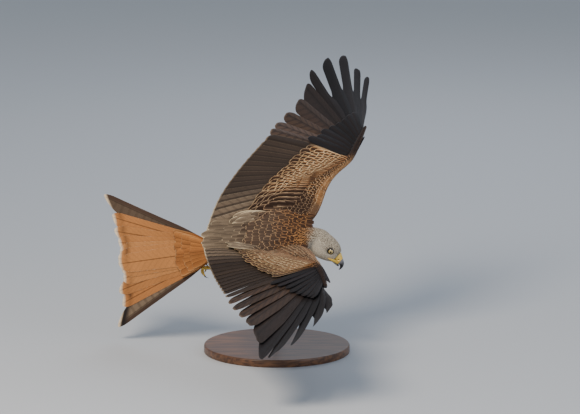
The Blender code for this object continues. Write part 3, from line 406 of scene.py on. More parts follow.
def fleshAt(wing, place):
    # the rear and the front of the flesh where a feather roots, and the share of its height
    rears, fronts = wingMarks(wing)
    arm = flight["tertials"]
    places = (-1.0, arm - 0.5, arm + 5.5, arm + 11.5, arm + 16.5, arm + 21.0)
    marks = np.interp(place, places, np.arange(1.0, 7.0))
    height = readLine(np.array(flight["heights"])[:, None], marks)
    return readLine(rears, marks), readLine(fronts, marks), height


# Meshes from arrays


def linear(hexValue):
    # an sRGB hex value becomes linear red, green and blue, and an alpha of 1
    value = np.array([int(hexValue[i:i + 2], 16) for i in (0, 2, 4)]) / 255.0
    return (*np.where(value <= 0.04045, value / 12.92, ((value + 0.055) / 1.055) ** 2.4), 1.0)


def newMesh(name, points, *groups, smooth=True):
    # points in metres and groups of faces, all of one size in each group, go in as whole arrays
    mesh = bpy.data.meshes.new(name)
    points = np.ascontiguousarray(points.reshape(-1, 3), np.float32)
    corners = np.concatenate([faces.ravel() for faces in groups]).astype(np.int32)
    sizes = np.concatenate([np.full(len(faces), faces.shape[1], np.int32) for faces in groups])
    mesh.vertices.add(len(points))
    mesh.vertices.foreach_set("co", points.ravel())
    mesh.loops.add(len(corners))
    mesh.loops.foreach_set("vertex_index", corners)
    mesh.polygons.add(len(sizes))
    mesh.polygons.foreach_set("loop_start", np.cumsum(sizes, dtype=np.int32) - sizes)
    mesh.polygons.foreach_set("use_smooth", np.full(len(sizes), smooth))
    mesh.update(calc_edges=True)
    piece = bpy.data.objects.new(name, mesh)
    bpy.context.scene.collection.objects.link(piece)
    return piece


def addColour(mesh, name, colours):
    layer = mesh.attributes.new(name, "FLOAT_COLOR", "POINT")
    layer.data.foreach_set("color", np.ascontiguousarray(colours, np.float32).ravel())


def addMap(mesh, name, places):
    # places is one row for each vertex, read here by the corners of the faces
    corners = np.empty(len(mesh.loops), np.int32)
    mesh.loops.foreach_get("vertex_index", corners)
    layer = mesh.uv_layers.new(name=name)
    layer.data.foreach_set("uv", np.ascontiguousarray(places[corners], np.float32).ravel())


def ridePiece(piece, material):
    piece.data.materials.append(material)
    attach(piece, "root")


def loftFaces(rings, sides):
    i, j = np.meshgrid(np.arange(rings - 1), np.arange(sides), indexing="ij")
    a = i * sides + j
    b = i * sides + (j + 1) % sides
    return np.stack((a, b, b + sides, a + sides), axis=-1).reshape(-1, 4)


def closedLoft(grid):
    # quads round the rings, and each end closed by quads folded onto one middle point
    rings, sides = grid.shape[:2]
    faces = loftFaces(rings, sides)
    points = np.concatenate((grid.reshape(-1, 3), [grid[0].mean(axis=0), grid[-1].mean(axis=0)]))
    j = np.arange(0, sides, 2)
    low, high = rings * sides, rings * sides + 1
    last = (rings - 1) * sides
    start = np.stack((np.full_like(j, low), (j + 2) % sides, (j + 1) % sides, j), axis=-1)
    end = np.stack((np.full_like(j, high), last + j, last + (j + 1) % sides, last + (j + 2) % sides),
                   axis=-1)
    return points, np.concatenate((faces, start, end))


def outwards(piece):
    # turns every face outwards
    shape = bmesh.new()
    shape.from_mesh(piece.data)
    bmesh.ops.recalc_face_normals(shape, faces=shape.faces)
    shape.to_mesh(piece.data)
    shape.free()


# Feathers: each is a thin closed vane, a ring of points at each station of its shaft


def vaneRing(columns):
    # the ring's share across, and 1 on the upper face, -1 on the lower one and 0 at both edges
    top = np.linspace(-1.0, 1.0, columns)
    across = np.concatenate((top, top[-2:0:-1]))
    face = np.concatenate(([0.0], np.ones(columns - 2), [0.0], -np.ones(columns - 2)))
    return across, face


def widthAlong(t, start, full, end, tip):
    # share of the full width: it grows from the root, stays full, and rounds off to the tip
    grow = start + (1.0 - start) * np.sin(0.5 * math.pi * np.clip(t / full, 0.0, 1.0))
    fade = np.sqrt(np.clip(1.0 - np.clip((t - end) / (1.0 - end), 0.0, 1.0) ** 2 * (1.0 - tip**2), 0.0,
                           1.0))
    return grow * fade


def featherPiece(name, points, across, t, colours, patch, material):
    # points is feathers by stations by ring, and colours holds three layers in that order
    count, stations, sides = points.shape[:3]
    last = (stations - 1) * sides
    caps = np.array((np.arange(sides)[::-1], last + np.arange(sides)))
    offsets = (np.arange(count) * stations * sides)[:, None, None]
    quads = (loftFaces(stations, sides)[None] + offsets).reshape(-1, 4)
    caps = (caps[None] + offsets).reshape(-1, sides)
    piece = newMesh(name, toWorld(points), quads, caps)
    mesh = piece.data
    # the two long edges stay sharp, so that light doesn't round the vane
    pairs = np.empty(len(mesh.edges) * 2, np.int32)
    mesh.edges.foreach_get("vertices", pairs)
    column = pairs.reshape(-1, 2) % sides
    sharp = (column[:, 0] == column[:, 1]) & ((column[:, 0] == 0) | (column[:, 0] == sides // 2))
    layer = mesh.attributes.new("sharp_edge", "BOOLEAN", "EDGE")
    layer.data.foreach_set("value", sharp)
    u = np.broadcast_to(across * 0.5 + 0.5, (count, stations, sides))
    v = np.broadcast_to(t[None, :, None], (count, stations, sides))
    vane = np.stack((u, v), axis=-1).reshape(-1, 2)
    addMap(mesh, "OFBake", np.repeat(patch, stations * sides, axis=0) + (vane - 0.5) * 0.003)
    addMap(mesh, "vane", vane)
    for layerName, values in zip(("ground", "edge", "streak"), colours):
        addColour(mesh, layerName, np.broadcast_to(values, (count, stations, sides, 4)).reshape(-1, 4))
    ridePiece(piece, material)
    print(name, count, "feathers", len(quads) * 2 + len(caps) * (sides - 2), "triangles")


def layOnSheet(sheet, place, start, end, lift, outer, inner, t, across, face, shape):
    # vanes along the sheet: shares from start to end, edges at their own distance, tilted like slats
    place = np.asarray(place, float)
    share = start[:, None] + (end - start)[:, None] * t
    step = np.maximum(sheet.spacing(place[:, None] + 0.0 * share, share), 2.0)
    full = np.broadcast_to(shape["width"](t), share.shape)
    width = full * (outer + inner)[:, None]
    room = np.minimum(1.0, shape.get("most", 1.75) * step / np.maximum(width, 0.01))
    reach = np.where(across > 0.0, outer[:, None, None] * across, inner[:, None, None] * across)
    reach = reach * full[..., None] * room[..., None]
    low, high = (np.broadcast_to(level, place.shape)[:, None] for level in lift)
    height = (low + (high - low) * t)[..., None] + reach * sheet.rise
    camber = shape["camber"] * (1.0 - across**2) * width[..., None] * room[..., None]
    thick = shape["thick"] * (1.0 - 0.75 * np.abs(across)) * (1.0 - 0.55 * t[None, :, None])
    shaft = shape["shaft"] * np.exp(-((across / 0.08) ** 2)) * (1.0 - 0.8 * t[None, :, None])
    height = height + camber + face * (thick + shaft) * 0.5
    edge = place[:, None, None] + reach / step[..., None]
    share = np.broadcast_to(share[..., None], edge.shape)
    return sheet.point(edge, share, height)


def layOnSkin(grid, s, q, length, width, lean, t, across, face, shape):
    # feathers that walk over the skin: lean turns them from tailwards (0) round the ring
    place, alongWay, roundWay, _ = frameAt(grid, s, q)
    stepS = -np.cos(lean) * length / np.linalg.norm(alongWay, axis=-1) * shape.get("run", 1.0)
    stepQ = np.sin(lean) * length / np.linalg.norm(roundWay, axis=-1)
    sHere = s[:, None] + stepS[:, None] * t
    qHere = q[:, None] + stepQ[:, None] * t
    place, alongWay, roundWay, out = frameAt(grid, sHere, qHere)
    ahead = unit(np.gradient(place, axis=1))
    side = unit(np.cross(out, ahead))
    half = shape["width"](t)[None] * width[:, None] * 0.5
    reach = half[..., None] * across
    rise = shape["root"] + (shape["tip"] * length / 20.0)[:, None] * t ** 0.8
    rise = rise + shape.get("loft", 0.0) * t * t
    thick = shape["thick"] * (1.0 - 0.7 * np.abs(across)) * (1.0 - 0.5 * t[None, :, None])
    droop = shape["droop"] * (reach / np.maximum(half[..., None], 0.1)) ** 2 * half[..., None]
    height = rise[..., None] - droop + face * thick * 0.5
    spread = side[..., None, :] * reach[..., None] + out[..., None, :] * height[..., None]
    return place[..., None, :] + spread


# Materials


def setSockets(node, values):
    # sets sockets or links others' outputs to them, by name, or in order over those that are in use
    if isinstance(values, dict):
        pairs = [(node.inputs[key], value) for key, value in values.items()]
    else:
        pairs = list(zip([socket for socket in node.inputs if socket.enabled], values))
    for socket, value in pairs:
        if isinstance(value, bpy.types.NodeSocket):
            node.id_data.links.new(value, socket)
        else:
            socket.default_value = value


def addNode(tree, kind, settings=None, values=()):
    # adds one node with its settings and links, and gives back its first output in use
    node = tree.nodes.new("ShaderNode" + kind)
    for key, value in (settings or {}).items():
        setattr(node, key, value)
    setSockets(node, values)
    return next(socket for socket in node.outputs if socket.enabled)


add, subtract, multiply, divide = ({"operation": way} for way in ("ADD", "SUBTRACT", "MULTIPLY", "DIVIDE"))
smoothRange = {"interpolation_type": "SMOOTHSTEP"}
colourMix = {"data_type": "RGBA"}
flatNoise = {"noise_dimensions": "2D"}


def newMaterial(name, sockets):
    # a new material, the function that adds nodes to it, and its shader
    material = bpy.data.materials.new(name)
    material.use_nodes = True
    shader = material.node_tree.nodes["Principled BSDF"]
    setSockets(shader, sockets)
    return material, functools.partial(addNode, material.node_tree), shader


def plumageMaterial(name, look):
    # Keratin vane of barbs: a matt sheet with a fine slant grain, a darker shaft and pale worn edges
    material, node, shader = newMaterial(name, {
        "Roughness": look["roughness"], "Sheen Weight": look["sheen"], "Sheen Roughness": 0.45,
        "Specular IOR Level": look["specular"]})
    places = node("UVMap", {"uv_map": "vane"})
    u, v, _ = node("SeparateXYZ", values=(places,)).node.outputs
    aside = node("Math", multiply, (node("Math", {"operation": "ABSOLUTE"},
                                         (node("Math", subtract, (u, 0.5)),)), 2.0))
    layers = {}
    for layer in ("ground", "edge", "streak"):
        layers[layer] = node("Attribute", {"attribute_name": layer, "attribute_type": "GEOMETRY"})
    # barbs leave the shaft at about 35 degrees: their grain runs along v less a share of the way from it
    slant = node("Math", subtract, (v, node("Math", multiply, (aside, look["slant"]))))
    grain = node("CombineXYZ", values=(slant, aside))
    place = node("TexCoord").node.outputs["Object"]
    patch = node("TexNoise", {"noise_dimensions": "3D"},
                 {"Scale": look["patch"], "Detail": 3.0, "Vector": place})
    barbs = node("TexNoise", flatNoise, {"Scale": look["barbs"], "Detail": 2.0, "Roughness": 0.6,
                                         "Vector": grain})
    ragged = node("Math", multiply, (node("Math", subtract, (barbs, 0.5)), look["ragged"]))
    colour = layers["ground"]
    if look.get("bars"):
        wave = node("Math", {"operation": "SINE"},
                    (node("Math", multiply,
                          (node("Math", add, (slant, node("Math", multiply, (ragged, 0.4)))),
                           look["bars"] * 2 * math.pi)),))
        band = node("MapRange", smoothRange, (wave, 0.25, 0.75))
        strength = node("Math", multiply, (layers["ground"].node.outputs["Alpha"], look["barDepth"]))
        band = node("Math", multiply, (band, strength))
        colour = node("Mix", colourMix, (band, colour, layers["streak"]))
    # dark streak along the shaft
    streakWidth = node("Math", add, (aside, ragged))
    streak = node("MapRange", smoothRange, (streakWidth, look["streak"], look["streak"] * 0.35))
    streak = node("Math", multiply, (streak, layers["streak"].node.outputs["Alpha"]))
    colour = node("Mix", colourMix, (streak, colour, layers["streak"]))
    # pale fringe along the sides and round the tip
    fromTip = node("Math", subtract, (1.0, node("Math", add,
                                                (v, node("Math", multiply, (ragged, look["tipRag"]))))))
    tipWidth = layers["ground"].node.outputs["Alpha"] if look["ownFringe"] else look["tip"]
    tipward = node("Math", {"operation": "SUBTRACT", "use_clamp": True},
                   (1.6, node("Math", divide, (fromTip, tipWidth))))
    sideward = node("MapRange", smoothRange, (node("Math", add, (aside, ragged)), look["side"],
                                              look["side"] + look["soft"]))
    sideward = node("Math", multiply, (sideward, node("MapRange", smoothRange, (v, 0.25, 0.6))))
    fringe = node("Math", multiply, (node("Math", {"operation": "MAXIMUM"}, (tipward, sideward)),
                                     layers["edge"].node.outputs["Alpha"]))
    colour = node("Mix", colourMix, (fringe, colour, layers["edge"]))
    # the shaft itself, darker than the vane
    shaft = node("MapRange", smoothRange, (aside, look["shaft"], look["shaft"] * 0.4))
    shaft = node("Math", multiply, (shaft, look["shaftDepth"]))
    colour = node("Mix", colourMix, (shaft, colour, linear("1c1613")))
    # light and dark barbs, and slow changes of tone over the coat
    tone = node("Math", add,
                (node("MapRange", smoothRange, (barbs, 0.3, 0.7, 1.0 - look["grain"], 1.0 + look["grain"])),
                 node("MapRange", smoothRange, (patch, 0.3, 0.7, -look["mottle"], look["mottle"]))))
    scaled = node("VectorMath", {"operation": "SCALE"}, (colour, tone))
    relief = node("Bump", values={"Strength": look["bump"], "Distance": 0.0004, "Height": barbs})
    setSockets(shader, {"Base Color": scaled, "Normal": relief})
    return material


def tints(rng, count, hexes, spread, alpha=1.0):
    # each feather's colour is a chance blend of the given ones, lighter or darker by the spread
    share = rng.dirichlet(np.full(len(hexes), 1.3), count)
    colours = share @ np.array([linear(h)[:3] for h in hexes])
    colours = np.clip(colours * (1.0 + spread * rng.uniform(-1.0, 1.0, (count, 1))), 0.0, 1.0)
    alphas = np.broadcast_to(np.asarray(alpha, float).reshape(-1, 1), (count, 1))
    return np.concatenate((colours, alphas), axis=1)[:, None, None, :]


def twoFaced(upper, under, face):
    # the lower face of a vane gets its own colours
    low = (face < 0.0)[None, None, :, None]
    return np.where(low, under, upper)


def blendBy(share, first, second):
    # share runs from 0, all first, to 1, all second
    share = np.asarray(share)
    share = share.reshape(share.shape + (1,) * (4 - share.ndim))
    return first * (1.0 - share) + second * share


def smoothStep(low, high, value):
    t = np.clip((value - low) / (high - low), 0.0, 1.0)
    return t * t * (3.0 - 2.0 * t)


# Long feathers of the wings

vaneLook = {"roughness": 0.58, "sheen": 0.03, "specular": 0.12, "slant": 0.10, "patch": 9.0, "barbs": 60.0,
            "ragged": 0.06, "tipRag": 0.15, "streak": 0.30, "tip": 0.014, "side": 0.95, "soft": 0.07,
            "shaft": 0.055,
            "shaftDepth": 0.75, "grain": 0.16, "mottle": 0.08, "bump": 0.5, "ownFringe": False}
# Flight feathers are stiff, close barbed keratin with a low gloss and a black brown shaft
flightMaterial = plumageMaterial("flightFeatherKeratin", {**vaneLook, "bars": 11.0, "barDepth": 0.55})
# Coverts are softer and more matt, with a dark streak and a pale fringe that wears ragged
covertLook = {**vaneLook, "roughness": 0.75, "sheen": 0.08, "streak": 0.72, "side": 0.80, "soft": 0.12,
              "ragged": 0.12, "tipRag": 0.12, "barbs": 34.0, "shaft": 0.05, "grain": 0.2, "ownFringe": True}
covertMaterial = plumageMaterial("covertFeatherKeratin", covertLook)
bodyLook = {**covertLook, "roughness": 0.85, "sheen": 0.12, "streak": 0.66, "side": 0.66, "soft": 0.24,
            "ragged": 0.24, "tipRag": 0.3, "barbs": 20.0, "shaftDepth": 0.3}
bodyMaterial = plumageMaterial("contourFeatherKeratin", bodyLook)
# Hair like feathers of the head: loose barbs round a thin dark shaft streak
headLook = {**bodyLook, "streak": 0.52, "side": 0.5, "soft": 0.4, "ragged": 0.3, "shaftDepth": 0.2}
headMaterial = plumageMaterial("lanceolateFeatherKeratin", headLook)
tailLook = {**vaneLook, "bars": 15.0, "barDepth": 0.10, "tip": 0.028, "side": 0.985, "soft": 0.03,
            "streak": 0.10,
            "shaftDepth": 0.5}
tailMaterial = plumageMaterial("tailFeatherKeratin", tailLook)
print("feather materials made")

remiges = {
    "stations": 26,
    "columns": 7,
    "rootDepth": 9.0,
    "thick": 0.8,
    "shaft": 1.3,
    "camber": 0.035,
    "most": 2.1,
}


def remexWidth(ranks, notch):
    # inner flight feathers keep their width; the five outer primaries step in to narrow fingers
    fingers = (ranks >= 5)[:, None]

    def width(t):
        plain = widthAlong(t, 0.10, 0.28, 0.90, 0.32)[None]
        step = 1.0 - notch * smoothStep(0.50, 0.66, t)[None]
        return np.where(fingers, widthAlong(t, 0.10, 0.26, 0.92, 0.32)[None] * step, plain)
    return width


def layRemiges(name, wing, sheet, first, last, colours):
    rng = np.random.default_rng(wing["seed"] + first)
    place = np.arange(first, last, dtype=float)
    ranks = place - armCount
    wide = np.where(ranks < 0, wing["secondaryWidth"],
                    np.array(wing["primaryWidths"])[np.clip(ranks, 0, 9).astype(int)])
    share = np.where(ranks < 5, 0.36, 0.27)
    t = 1.0 - (1.0 - np.linspace(0.0, 1.0, remiges["stations"])) ** 1.5
    across, face = vaneRing(remiges["columns"])
    shape = {**remiges, "width": remexWidth(ranks, wing["notch"])}
    start = -remiges["rootDepth"] / sheet.length(place)
    points = layOnSheet(sheet, place, start, np.ones(len(place)), (0.0, 0.0), wide * share,
                        wide * (1 - share), t, across, face, shape)
    patch = np.stack((0.05 + 0.9 * place / feathersOfWing, np.full(len(place), 0.5)), axis=1)
    featherPiece(name, points, across, t, colours(rng, ranks, t, face), patch, flightMaterial)


def primaryColours(rng, ranks, t, face):
    # black outer primaries, browner and barred towards the wrist, pale at the base underneath
    count = len(ranks)
    tint = functools.partial(tints, rng, count)
    dark = tint(("1e1d20", "19181b", "242123"), 0.08, 0.25)
    brown = tint(("4a392e", "56443a", "3f332c"), 0.08, 0.9)
    top = blendBy(smoothStep(1.0, 5.5, ranks), brown, dark)
    pale = tint(("b8ada0", "a89a8c"), 0.05, 1.0)
    tipDark = tint(("3b3634", "453e3b"), 0.05, 0.3)
    under = blendBy(smoothStep(0.34, 0.60, t)[None], pale, tipDark)
    ground = twoFaced(np.broadcast_to(top, under.shape), under, face)
    edge = blendBy(smoothStep(1.0, 5.0, ranks), tint(("947f69",), 0.1, 0.4), tint(("454142",), 0.1, 0.3))
    streak = tint(("1b191b", "241f1e"), 0.05, 0.35)
    return ground, edge, streak


def secondaryColours(rng, ranks, t, face):
    # dark brown with thin pale tips, and paler grey brown on the tertials
    count = len(ranks)
    tint = functools.partial(tints, rng, count)
    tertial = smoothStep(-flight["secondaries"] + 1.5, -flight["secondaries"] - 1.5, ranks)
    dark = tint(("352b25", "3d322b", "2f2723"), 0.1, 0.35)
    brown = tint(("6d5d4d", "786755", "62544a"), 0.08, 0.5)
    top = blendBy(tertial, dark, brown)
    under = tint(("8f8478", "7e746b"), 0.06, 1.0)
    ground = twoFaced(top, under, face)
    edge = blendBy(tertial, tint(("9a876f", "a8957b"), 0.12, 0.6), tint(("d6c6a9",), 0.06, 0.95))
    streak = tint(("2a2320", "332a25"), 0.05, 0.5)
    return ground, edge, streak


# Tiers of coverts over and under the long feathers, from the lowest to the topmost: root in the flesh,
# lift over the long feathers at root and tip, reach, width, step in places, trim at both ends
tawny = {"ground": ("a97648", "b98655", "8f6340"), "edge": ("ecd6b0", "dfc198"), "alpha": (1.0, 0.9)}
buff = {"ground": ("a3734a", "b38155", "845b3c"), "edge": ("e8cfa6", "d8b98e"), "alpha": (1.0, 0.95)}
tiers = {
    "GreaterCoverts": {
        "root": 0.02, "lift": (2.2, 7.2), "reach": 100.0, "wide": 27.0, "step": 0.82, "trim": 0.0,
        "ground": ("6b4d37", "7a583f", "5a4233"), "edge": ("cfb187", "c09c70"), "alpha": (0.95, 0.9),
        "fade": (7.0, 14.0)},
    "UpperGreaterCoverts": {
        "root": 0.10, "lift": (4.2, 8.4), "reach": 84.0, "wide": 24.0, "step": 0.76, "trim": 0.1,
        "ground": ("85603f", "946c48", "6f4f38"), "edge": ("dcc096", "cda878"), "alpha": (0.95, 0.9)},
    "LowerMedianCoverts": {
        "root": 0.18, "lift": (6.2, 9.6), "reach": 68.0, "wide": 21.0, "step": 0.70, "trim": 0.2,
        "ground": ("9b6d45", "ab7a4e", "80593c"), "edge": ("e6cda3", "d9b888"), "alpha": (1.0, 0.9)},
    "MedianCoverts": {
        "root": 0.26, "lift": (8.0, 10.8), "reach": 53.0, "wide": 19.0, "step": 0.64, "trim": 0.3, **tawny},
    "UpperMedianCoverts": {
        "root": 0.34, "lift": (9.4, 11.8), "reach": 39.0, "wide": 17.0, "step": 0.58, "trim": 0.4, **tawny},
    "RearLesserCoverts": {
        "root": 0.43, "lift": (11.2, 12.2), "reach": 27.0, "wide": 16.0, "step": 0.53, "trim": 0.4, **buff},
    "MiddleLesserCoverts": {
        "root": 0.52, "lift": (12.2, 12.9), "reach": 15.0, "wide": 15.0, "step": 0.49, "trim": 0.4, **buff},
    "FrontLesserCoverts": {
        "root": 0.62, "lift": (12.8, 13.6), "reach": 3.0, "wide": 14.0, "step": 0.46, "trim": 0.4, **buff},
}
primaryTier = {"root": 0.40, "lift": (5.8, 8.4), "reach": 112.0, "wide": 26.0, "step": 0.9,
               "ground": ("19181a", "1f1d20", "232023"), "edge": ("444041",), "alpha": (0.5, 0.3)}
underGreaterTier = {"root": 0.30, "lift": (-4.6, -5.6), "reach": 78.0, "wide": 32.0, "step": 0.95,
                    "ground": ("86705c", "97806a"), "edge": ("cbb89c",), "alpha": (0.8, 0.6)}
underMedianTier = {"root": 0.45, "lift": (-6.6, -8.4), "reach": 44.0, "wide": 26.0, "step": 0.85,
                   "ground": ("8a5637", "a06a45"), "edge": ("c79b6d",), "alpha": (0.8, 0.7)}
mantleFeather = {"ground": ("55443a", "4a3a31", "65503f"), "edge": ("b8906a", "a58a6e", "cbb08a"),
                 "front": ("5a4030", "6b4a33", "4b382c"), "frontEdge": ("b9834f", "c99560", "a4744a")}
streakHexes = ("2b1e17", "34241b")


def mantleShare(wing, place):
    # 1 where a feather's root lies on the mantle's side of the line in the picture
    x, y = inPicture(place)
    past = (y - np.interp(x, *wing["mantleLine"])) * wing["mantleBelow"]
    return smoothStep(-5.0, 5.0, past)


shingleWidth = {"width": lambda t: widthAlong(t, 0.5, 0.4, 0.60, 0.10), "most": 9.0, "camber": 0.07}
covertShape = {"stations": 14, "columns": 5, "thick": 0.6, "shaft": 0.6, "camber": 0.05, "most": 1.9,
               "width": lambda t: widthAlong(t, 0.25, 0.4, 0.82, 0.22)}


def layTier(name, wing, sheet, first, last, tier, material=covertMaterial):
    # roots on a smooth line in the flesh, ends on the sheet of the long feathers at the tier's own reach
    rng = np.random.default_rng(wing["seed"] + int(tier["reach"]))
    place = np.arange(first, last, 0.5)
    rear, front, height = fleshAt(wing, place)
    roots = rear + (front - rear) * tier["root"]
    roots = roots + sheet.normal(place, np.zeros(len(place))) * tier["lift"][0] * height
    share = tier["reach"] / sheet.length(place)
    ends = sheet.point(place, share, np.full(len(place), float(tier["lift"][1])))
    line = Sheet(soften(roots, len(place)), soften(ends, len(place)), np.zeros(len(place)), flight["tilt"])
    spots = np.arange(0.0, len(place) - 1.0, 2.0 * tier["step"])
    spots = spots + rng.uniform(-0.12, 0.12, len(spots))
    count = len(spots)
    tint = functools.partial(tints, rng, count)
    t = 1.0 - (1.0 - np.linspace(0.0, 1.0, covertShape["stations"])) ** 1.4
    across, face = vaneRing(covertShape["columns"])
    shape = {**covertShape, "most": covertShape["most"] * 2.0 * tier["step"]}
    if tier["lift"][1] < 0.0:
        shape["camber"] = -shape["camber"]
    wide = tier["wide"] * rng.uniform(0.92, 1.08, count)
    end = rng.uniform(0.92, 1.06, count)
    points = layOnSheet(line, spots, np.zeros(count), end, (0.0, 0.0), wide * 0.42, wide * 0.58, t, across,
                        face, shape)
    fringe = 1.5 / np.linalg.norm(points[:, -1].mean(axis=1) - points[:, 0].mean(axis=1), axis=1)
    ground = tint(tier["ground"], 0.16, fringe)
    edge = tint(tier["edge"], 0.1, tier["alpha"][0])
    streak = tint(streakHexes, 0.1, tier["alpha"][1])
    if tier["lift"][1] > 0.0 and last <= armCount:
        dark = mantleShare(wing, points[:, -1].mean(axis=1))
        ground = blendBy(dark, ground, tint(mantleFeather["ground"], 0.14, fringe))
        edge = blendBy(dark, edge, tint(mantleFeather["edge"], 0.1, 0.95))
    if "fade" in tier:
        # these turn darker towards the wrist
        share = smoothStep(*tier["fade"], place[0] + spots * 0.5) * 0.55
        ground = blendBy(share, ground, tint(("3d322b", "463930"), 0.1, fringe))
        edge = blendBy(share, edge, tint(("94826b",), 0.1, 0.7))
    level = 0.6 + 0.002 * tier["reach"] if tier["lift"][1] > 0.0 else 0.2 + 0.001 * tier["reach"]
    patch = np.stack((0.05 + 0.9 * (place[0] + spots * 0.5) / feathersOfWing, np.full(count, level)),
                     axis=1)
    featherPiece(name, points, across, t, (ground, edge, streak), patch, material)


# Small feathers laid on the skin in rows, each row half a step from the next


def strewRow(line, fine, pitch, start, wander, rng):
    # reads one row of roots about a pitch apart along a line of points, whose places are fine
    length = np.concatenate(([0.0], np.cumsum(np.linalg.norm(np.diff(line, axis=0), axis=1))))
    count = max(int(length[-1] / pitch), 6)
    want = (np.arange(count) + start + rng.uniform(-wander, wander, count)) / count * length[-1]
    return np.interp(want % length[-1], length, fine)


def strewRings(grid, marks, pitch, rng):
    # rows of roots round rings of the surface; pitch is the distance between roots in mm for each row
    found = []
    fine = np.linspace(0.0, grid.shape[1], 241)
    for row, s in enumerate(marks):
        line = surfaceAt(grid, np.full(len(fine), s), fine)
        q = strewRow(line, fine, pitch[row], 0.5 * (row % 2), 0.22, rng)
        found.append((s + rng.uniform(-0.02, 0.02, len(q)), q, np.full(len(q), row)))
    return [np.concatenate(part) for part in zip(*found)]


def strewSpan(grid, low, high, levels, pitch, rng):
    # rows of roots along the wing, one for each level round its section
    found = []
    fine = np.linspace(low, high, 241)
    for row, q in enumerate(levels):
        line = surfaceAt(grid, fine, np.full(len(fine), q))
        s = strewRow(line, fine, pitch[row], 0.25 + 0.5 * (row % 2), 0.2, rng)
        found.append((s, q + rng.uniform(-0.04, 0.04, len(s)), np.full(len(s), row)))
    return [np.concatenate(part) for part in zip(*found)]


lesser = {
    "levels": np.linspace(1.6, 6.3, 13),
    "underLevels": np.linspace(10.9, 7.3, 9),
    "length": (26.0, 9.0),
    "width": (17.0, 6.0),
    "ground": ("a87648", "94683f", "b98a5e"),
    "dark": ("4b3325", "5a3f2d"),
    "edge": ("efdcb8", "e0c49c"),
    "handGround": ("1f1e22", "29272b"),
}
smallShape = {
    "width": lambda t: widthAlong(t, 0.35, 0.45, 0.55, 0.18),
    "thick": 0.45, "root": -0.8, "tip": 1.5, "droop": 0.12,
}


def layLesser(name, wing, grid, under):
    rng = np.random.default_rng(wing["seed"] + 400 + under)
    levels = lesser["underLevels"] if under else lesser["levels"]
    rows = len(levels)
    share = np.arange(rows) / (rows - 1.0)
    length = lesser["length"][0] + (lesser["length"][1] - lesser["length"][0]) * share
    width = lesser["width"][0] + (lesser["width"][1] - lesser["width"][0]) * share
    s, q, row = strewSpan(grid, 3.0, 35.5, levels, width * 0.62, rng)
    hand = smoothStep(22.5, 26.0, s)
    small = 1.0 - 0.35 * hand
    chord = np.linalg.norm(surfaceAt(grid, s, np.full(len(s), 6.0))
                           - surfaceAt(grid, s, np.full(len(s), 0.5)), axis=1)
    fit = np.clip(chord / 75.0, 0.35, 1.15)
    count = len(s)
    tint = functools.partial(tints, rng, count)
    lean = np.radians(-100.0 if not under else 100.0) + rng.normal(0.0, 0.07, count)
    # none walks past the rear edge of the flesh to its other face
    rearEdge = surfaceAt(grid, s, np.full(count, 12.0 if under else 0.0))
    room = np.linalg.norm(surfaceAt(grid, s, q) - rearEdge, axis=1)
    long = np.minimum(length[row] * small * fit * rng.uniform(0.9, 1.1, count), 0.92 * room)
    t = np.linspace(0.0, 1.0, 6)
    across, face = vaneRing(5)
    points = layOnSkin(grid, s, q, long, width[row] * small * rng.uniform(0.9, 1.1, count), lean, t, across,
                       face, smallShape)
    if under:
        ground = tint(("8a5535", "9d6743", "7b4a30"), 0.15, 0.05)
        edge = tint(("c08e5f",), 0.1, 0.7)
    else:
        ground = blendBy(rng.uniform(0.0, 1.0, count) ** 2 * 0.8, tint(lesser["ground"], 0.12, 0.05),
                         tint(lesser["dark"], 0.1, 0.05))
        edge = tint(lesser["edge"], 0.08, 0.95)
        dark = mantleShare(wing, points[:, 2].mean(axis=1))
        ground = blendBy(dark, ground, tint(mantleFeather["ground"], 0.14, 0.05))
        edge = blendBy(dark, edge, tint(mantleFeather["edge"], 0.1, 0.95))
    # the marginal strip on the leading edge is plain buff
    strip = smoothStep(4.6, 5.6, q) * (not under)
    streak = tint(streakHexes, 0.1, 0.95)
    streak = blendBy(strip * 0.8, streak, tint(("a4754a",), 0.1, 0.2))
    black = tint(lesser["handGround"], 0.1, 0.05)
    ground = blendBy(hand, ground, black)
    edge = blendBy(hand, edge, tint(("4c4848", "5b5350"), 0.1, 0.5))
    patch = np.stack((0.05 + 0.9 * s / 37.0, (0.1 if under else 0.55) + 0.03 * (q % 6.5)), axis=1)
    featherPiece(name, points, across, t, (ground, edge, streak), patch, covertMaterial)
    return points[:, 0].mean(axis=1), ground


samples = []
for label, wing in (("left", leftWing), ("right", rightWing)):
    sheet, grid = wingSheet(wing), wingGrid(wing)
    layRemiges(label + "Primaries", wing, sheet, armCount, feathersOfWing, primaryColours)
    layRemiges(label + "Secondaries", wing, sheet, 0, armCount, secondaryColours)
    for title, tier in tiers.items():
        layTier(label + title, wing, sheet, tier["trim"], armCount - 0.4 - tier["trim"], tier)
    layTier(label + "PrimaryCoverts", wing, sheet, armCount + 0.4, armCount + 7.6, primaryTier,
            flightMaterial)
    layTier(label + "UnderGreaterCoverts", wing, sheet, 0.0, feathersOfWing - 4.0, underGreaterTier)
    layTier(label + "UnderMedianCoverts", wing, sheet, 0.3, feathersOfWing - 5.0, underMedianTier)
    for under in (False, True):
        name = label + ("UnderLesserCoverts" if under else "LesserCoverts")
        samples.append(layLesser(name, wing, grid, under))
print("wings made")


